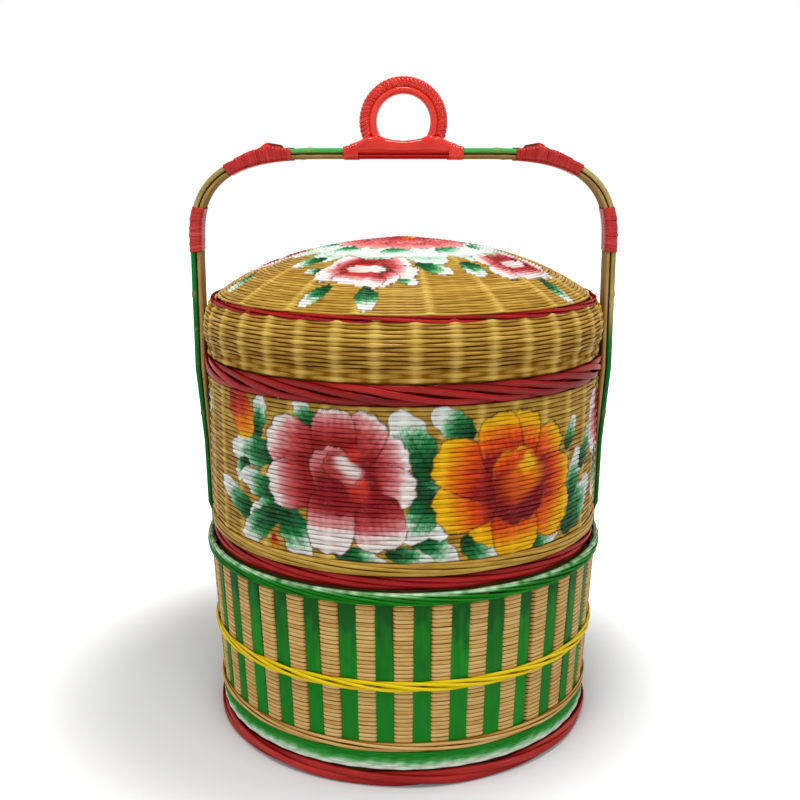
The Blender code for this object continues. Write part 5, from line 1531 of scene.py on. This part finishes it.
def lashings():
    """Cane bound over each leg where it meets the rim and the foot of the lower tier."""
    for node, height in (("rim_lashing", 131.8 * MM), ("foot_lashing", 40.5 * MM)):
        for side, word in ((1.0, "right"), (-1.0, "left")):
            grids = []
            for number in range(4):
                middle = height + (number - 1.5) * 2.2 * MM
                share = np.linspace(-1.0, 1.0, 40)
                y = share * 6.4 * MM
                lift = 3.1 * MM * (1.0 - np.abs(share) ** 4)
                radius = base_wall_radius(middle) + 0.5 * MM + lift
                px = side * radius
                pz = middle + 1.2 * MM * share * side
                section = oval(SECTION_POINTS, 0.55 * MM, 1.15 * MM, 2.2)
                points = np.stack([
                    px[:, None] + side * section[None, :, 0],
                    np.broadcast_to(y[:, None], (40, SECTION_POINTS)) * side,
                    pz[:, None] + section[None, :, 1],
                ], axis=-1)
                grids.append(points)
            points = np.stack(grids)
            along = np.broadcast_to(np.linspace(0.0, 0.02, 40), (4, 40))
            flat = np.zeros((4, 40))
            fields = strand_fields(points, along, np.array([0.1, 0.3, 0.6, 0.9]), flat, flat)
            tint = np.zeros((*points.shape[:-1], 4))
            strands(f"{node}_wrap_{word}", points, False, GREEN, "lower_tier", (f"{node}_{word}",),
                    fields, tint)


# Finishes of the frame's own parts that stay

def dress_frame():
    for name in ("foot_hoop", "base_rim_hoop", "upper_foot_hoop", "upper_rim_hoop", "lid_collar"):
        dress(name, HOOP)
    for name in ("base_floor", "upper_floor"):
        dress(name, PLAIT)


def dress(name, paint):
    obj = frame["nodes"][name]
    if not obj.material_slots:
        obj.data.materials.append(paint)
    for place in obj.material_slots:
        place.material = paint


# Room, light and camera

def floor():
    mesh = bpy.data.meshes.new("studio_floor")
    half = 6.0
    corners = [(-half, -half, 0.0), (half, -half, 0.0), (half, half, 0.0), (-half, half, 0.0)]
    mesh.from_pydata(corners, [], [(0, 1, 2, 3)])
    obj = bpy.data.objects.new("studio_floor", mesh)
    obj.location.z = -0.0002
    bpy.context.scene.collection.objects.link(obj)
    made = bpy.data.materials.new("studio_paper")
    made.use_nodes = True
    tree = made.node_tree
    shader = tree.nodes["Principled BSDF"]
    shader.inputs["Base Color"].default_value = (0.66, 0.66, 0.66, 1.0)
    shader.inputs["Roughness"].default_value = 0.9
    shader.inputs["Specular IOR Level"].default_value = 0.1
    path = add(tree, "ShaderNodeLightPath")
    seen = maths(tree, "MAXIMUM", path.outputs["Is Camera Ray"], path.outputs["Is Glossy Ray"])
    seen = maths(tree, "MAXIMUM", seen, path.outputs["Is Transmission Ray"])
    place = add(tree, "ShaderNodeTexCoord")
    moved = add(tree, "ShaderNodeVectorMath", operation="SUBTRACT")
    join(tree, place.outputs["Object"], moved.inputs[0])
    moved.inputs[1].default_value = FLOOR_SHADE_MIDDLE
    away = add(tree, "ShaderNodeVectorMath", operation="LENGTH")
    join(tree, moved.outputs["Vector"], away.inputs[0])
    # Camera-seen glow whitens the floor away from the basket; near the foot it stays low, so the rendered shadow shows
    # only within a painted patch centred left of and behind the axis
    glow = maths(tree, "MULTIPLY", seen, spread(tree, away.outputs["Value"], 0.175, 0.37, 0.11, 1.0))
    shader.inputs["Emission Color"].default_value = (1.0, 1.0, 1.0, 1.0)
    join(tree, glow, shader.inputs["Emission Strength"])
    mesh.materials.append(made)


def world():
    made = bpy.data.worlds.new("studio")
    made.use_nodes = True
    tree = made.node_tree
    back = tree.nodes["Background"]
    path = add(tree, "ShaderNodeLightPath")
    seen = maths(tree, "MAXIMUM", path.outputs["Is Camera Ray"], path.outputs["Is Glossy Ray"])
    seen = maths(tree, "MAXIMUM", seen, path.outputs["Is Transmission Ray"])
    join(tree, spread(tree, seen, 0.0, 1.0, 0.47, 1.0, smoothly=False), back.inputs["Strength"])
    back.inputs["Color"].default_value = (1.0, 1.0, 1.0, 1.0)
    bpy.context.scene.world = made


def lamp(name, place_at, aim, size, power):
    data = bpy.data.lights.new(name, "AREA")
    data.shape = "RECTANGLE"
    data.size, data.size_y = size
    data.energy = power
    obj = bpy.data.objects.new(name, data)
    obj.location = place_at
    heading = np.array(aim) - np.array(place_at)
    heading = heading / np.linalg.norm(heading)
    yaw = math.atan2(heading[1], heading[0])
    tilt = math.acos(-heading[2])
    obj.rotation_euler = (0.0, -tilt, yaw + math.pi)
    bpy.context.scene.collection.objects.link(obj)
    return obj


def lights():
    middle = (0.0, 0.0, 0.22)
    lamp("left_box", (-1.32, -0.72, 1.30), middle, (0.35, 0.50), 72.0)
    lamp("right_box", (1.40, -0.62, 1.22), middle, (0.35, 0.50), 74.0)
    lamp("top_box", (0.0, -0.45, 1.7), middle, (0.7, 0.5), 18.0)
    lamp("front_spot", (0.10, -1.25, 1.15), middle, (0.10, 0.10), 5.0)
    lamp("back_box", (0.0, 1.5, 1.1), middle, (1.4, 0.7), 10.0)
LEG_GREEN_TINT = (0.010, 0.22, 0.045)
# Green of the bar's top, lighter than the legs' partly as a painted highlight
BAR_GREEN_TINT = (0.06, 0.45, 0.10)
BEND_TINT = (0.21, 0.17, 0.07)


def camera():
    data = bpy.data.cameras.new("camera")
    data.lens = CAMERA_LENS
    data.sensor_width = SENSOR_WIDTH
    data.clip_start = 0.05
    data.clip_end = 50.0
    obj = bpy.data.objects.new("camera", data)
    obj.location = CAMERA_PLACE
    obj.rotation_euler = (math.radians(90.0 - CAMERA_PITCH), 0.0, 0.0)
    bpy.context.scene.collection.objects.link(obj)
    bpy.context.scene.camera = obj


bpy.context.scene.view_settings.view_transform = "Standard"
camera()
floor()
world()
lights()
lower_wefts()
slats()
lower_cords()
upper_tier()
lid()
handle_strips()
handle_wraps()
scarfs()
ring_canes()
ring_wrap()
saddle()
lashings()
dress_frame()
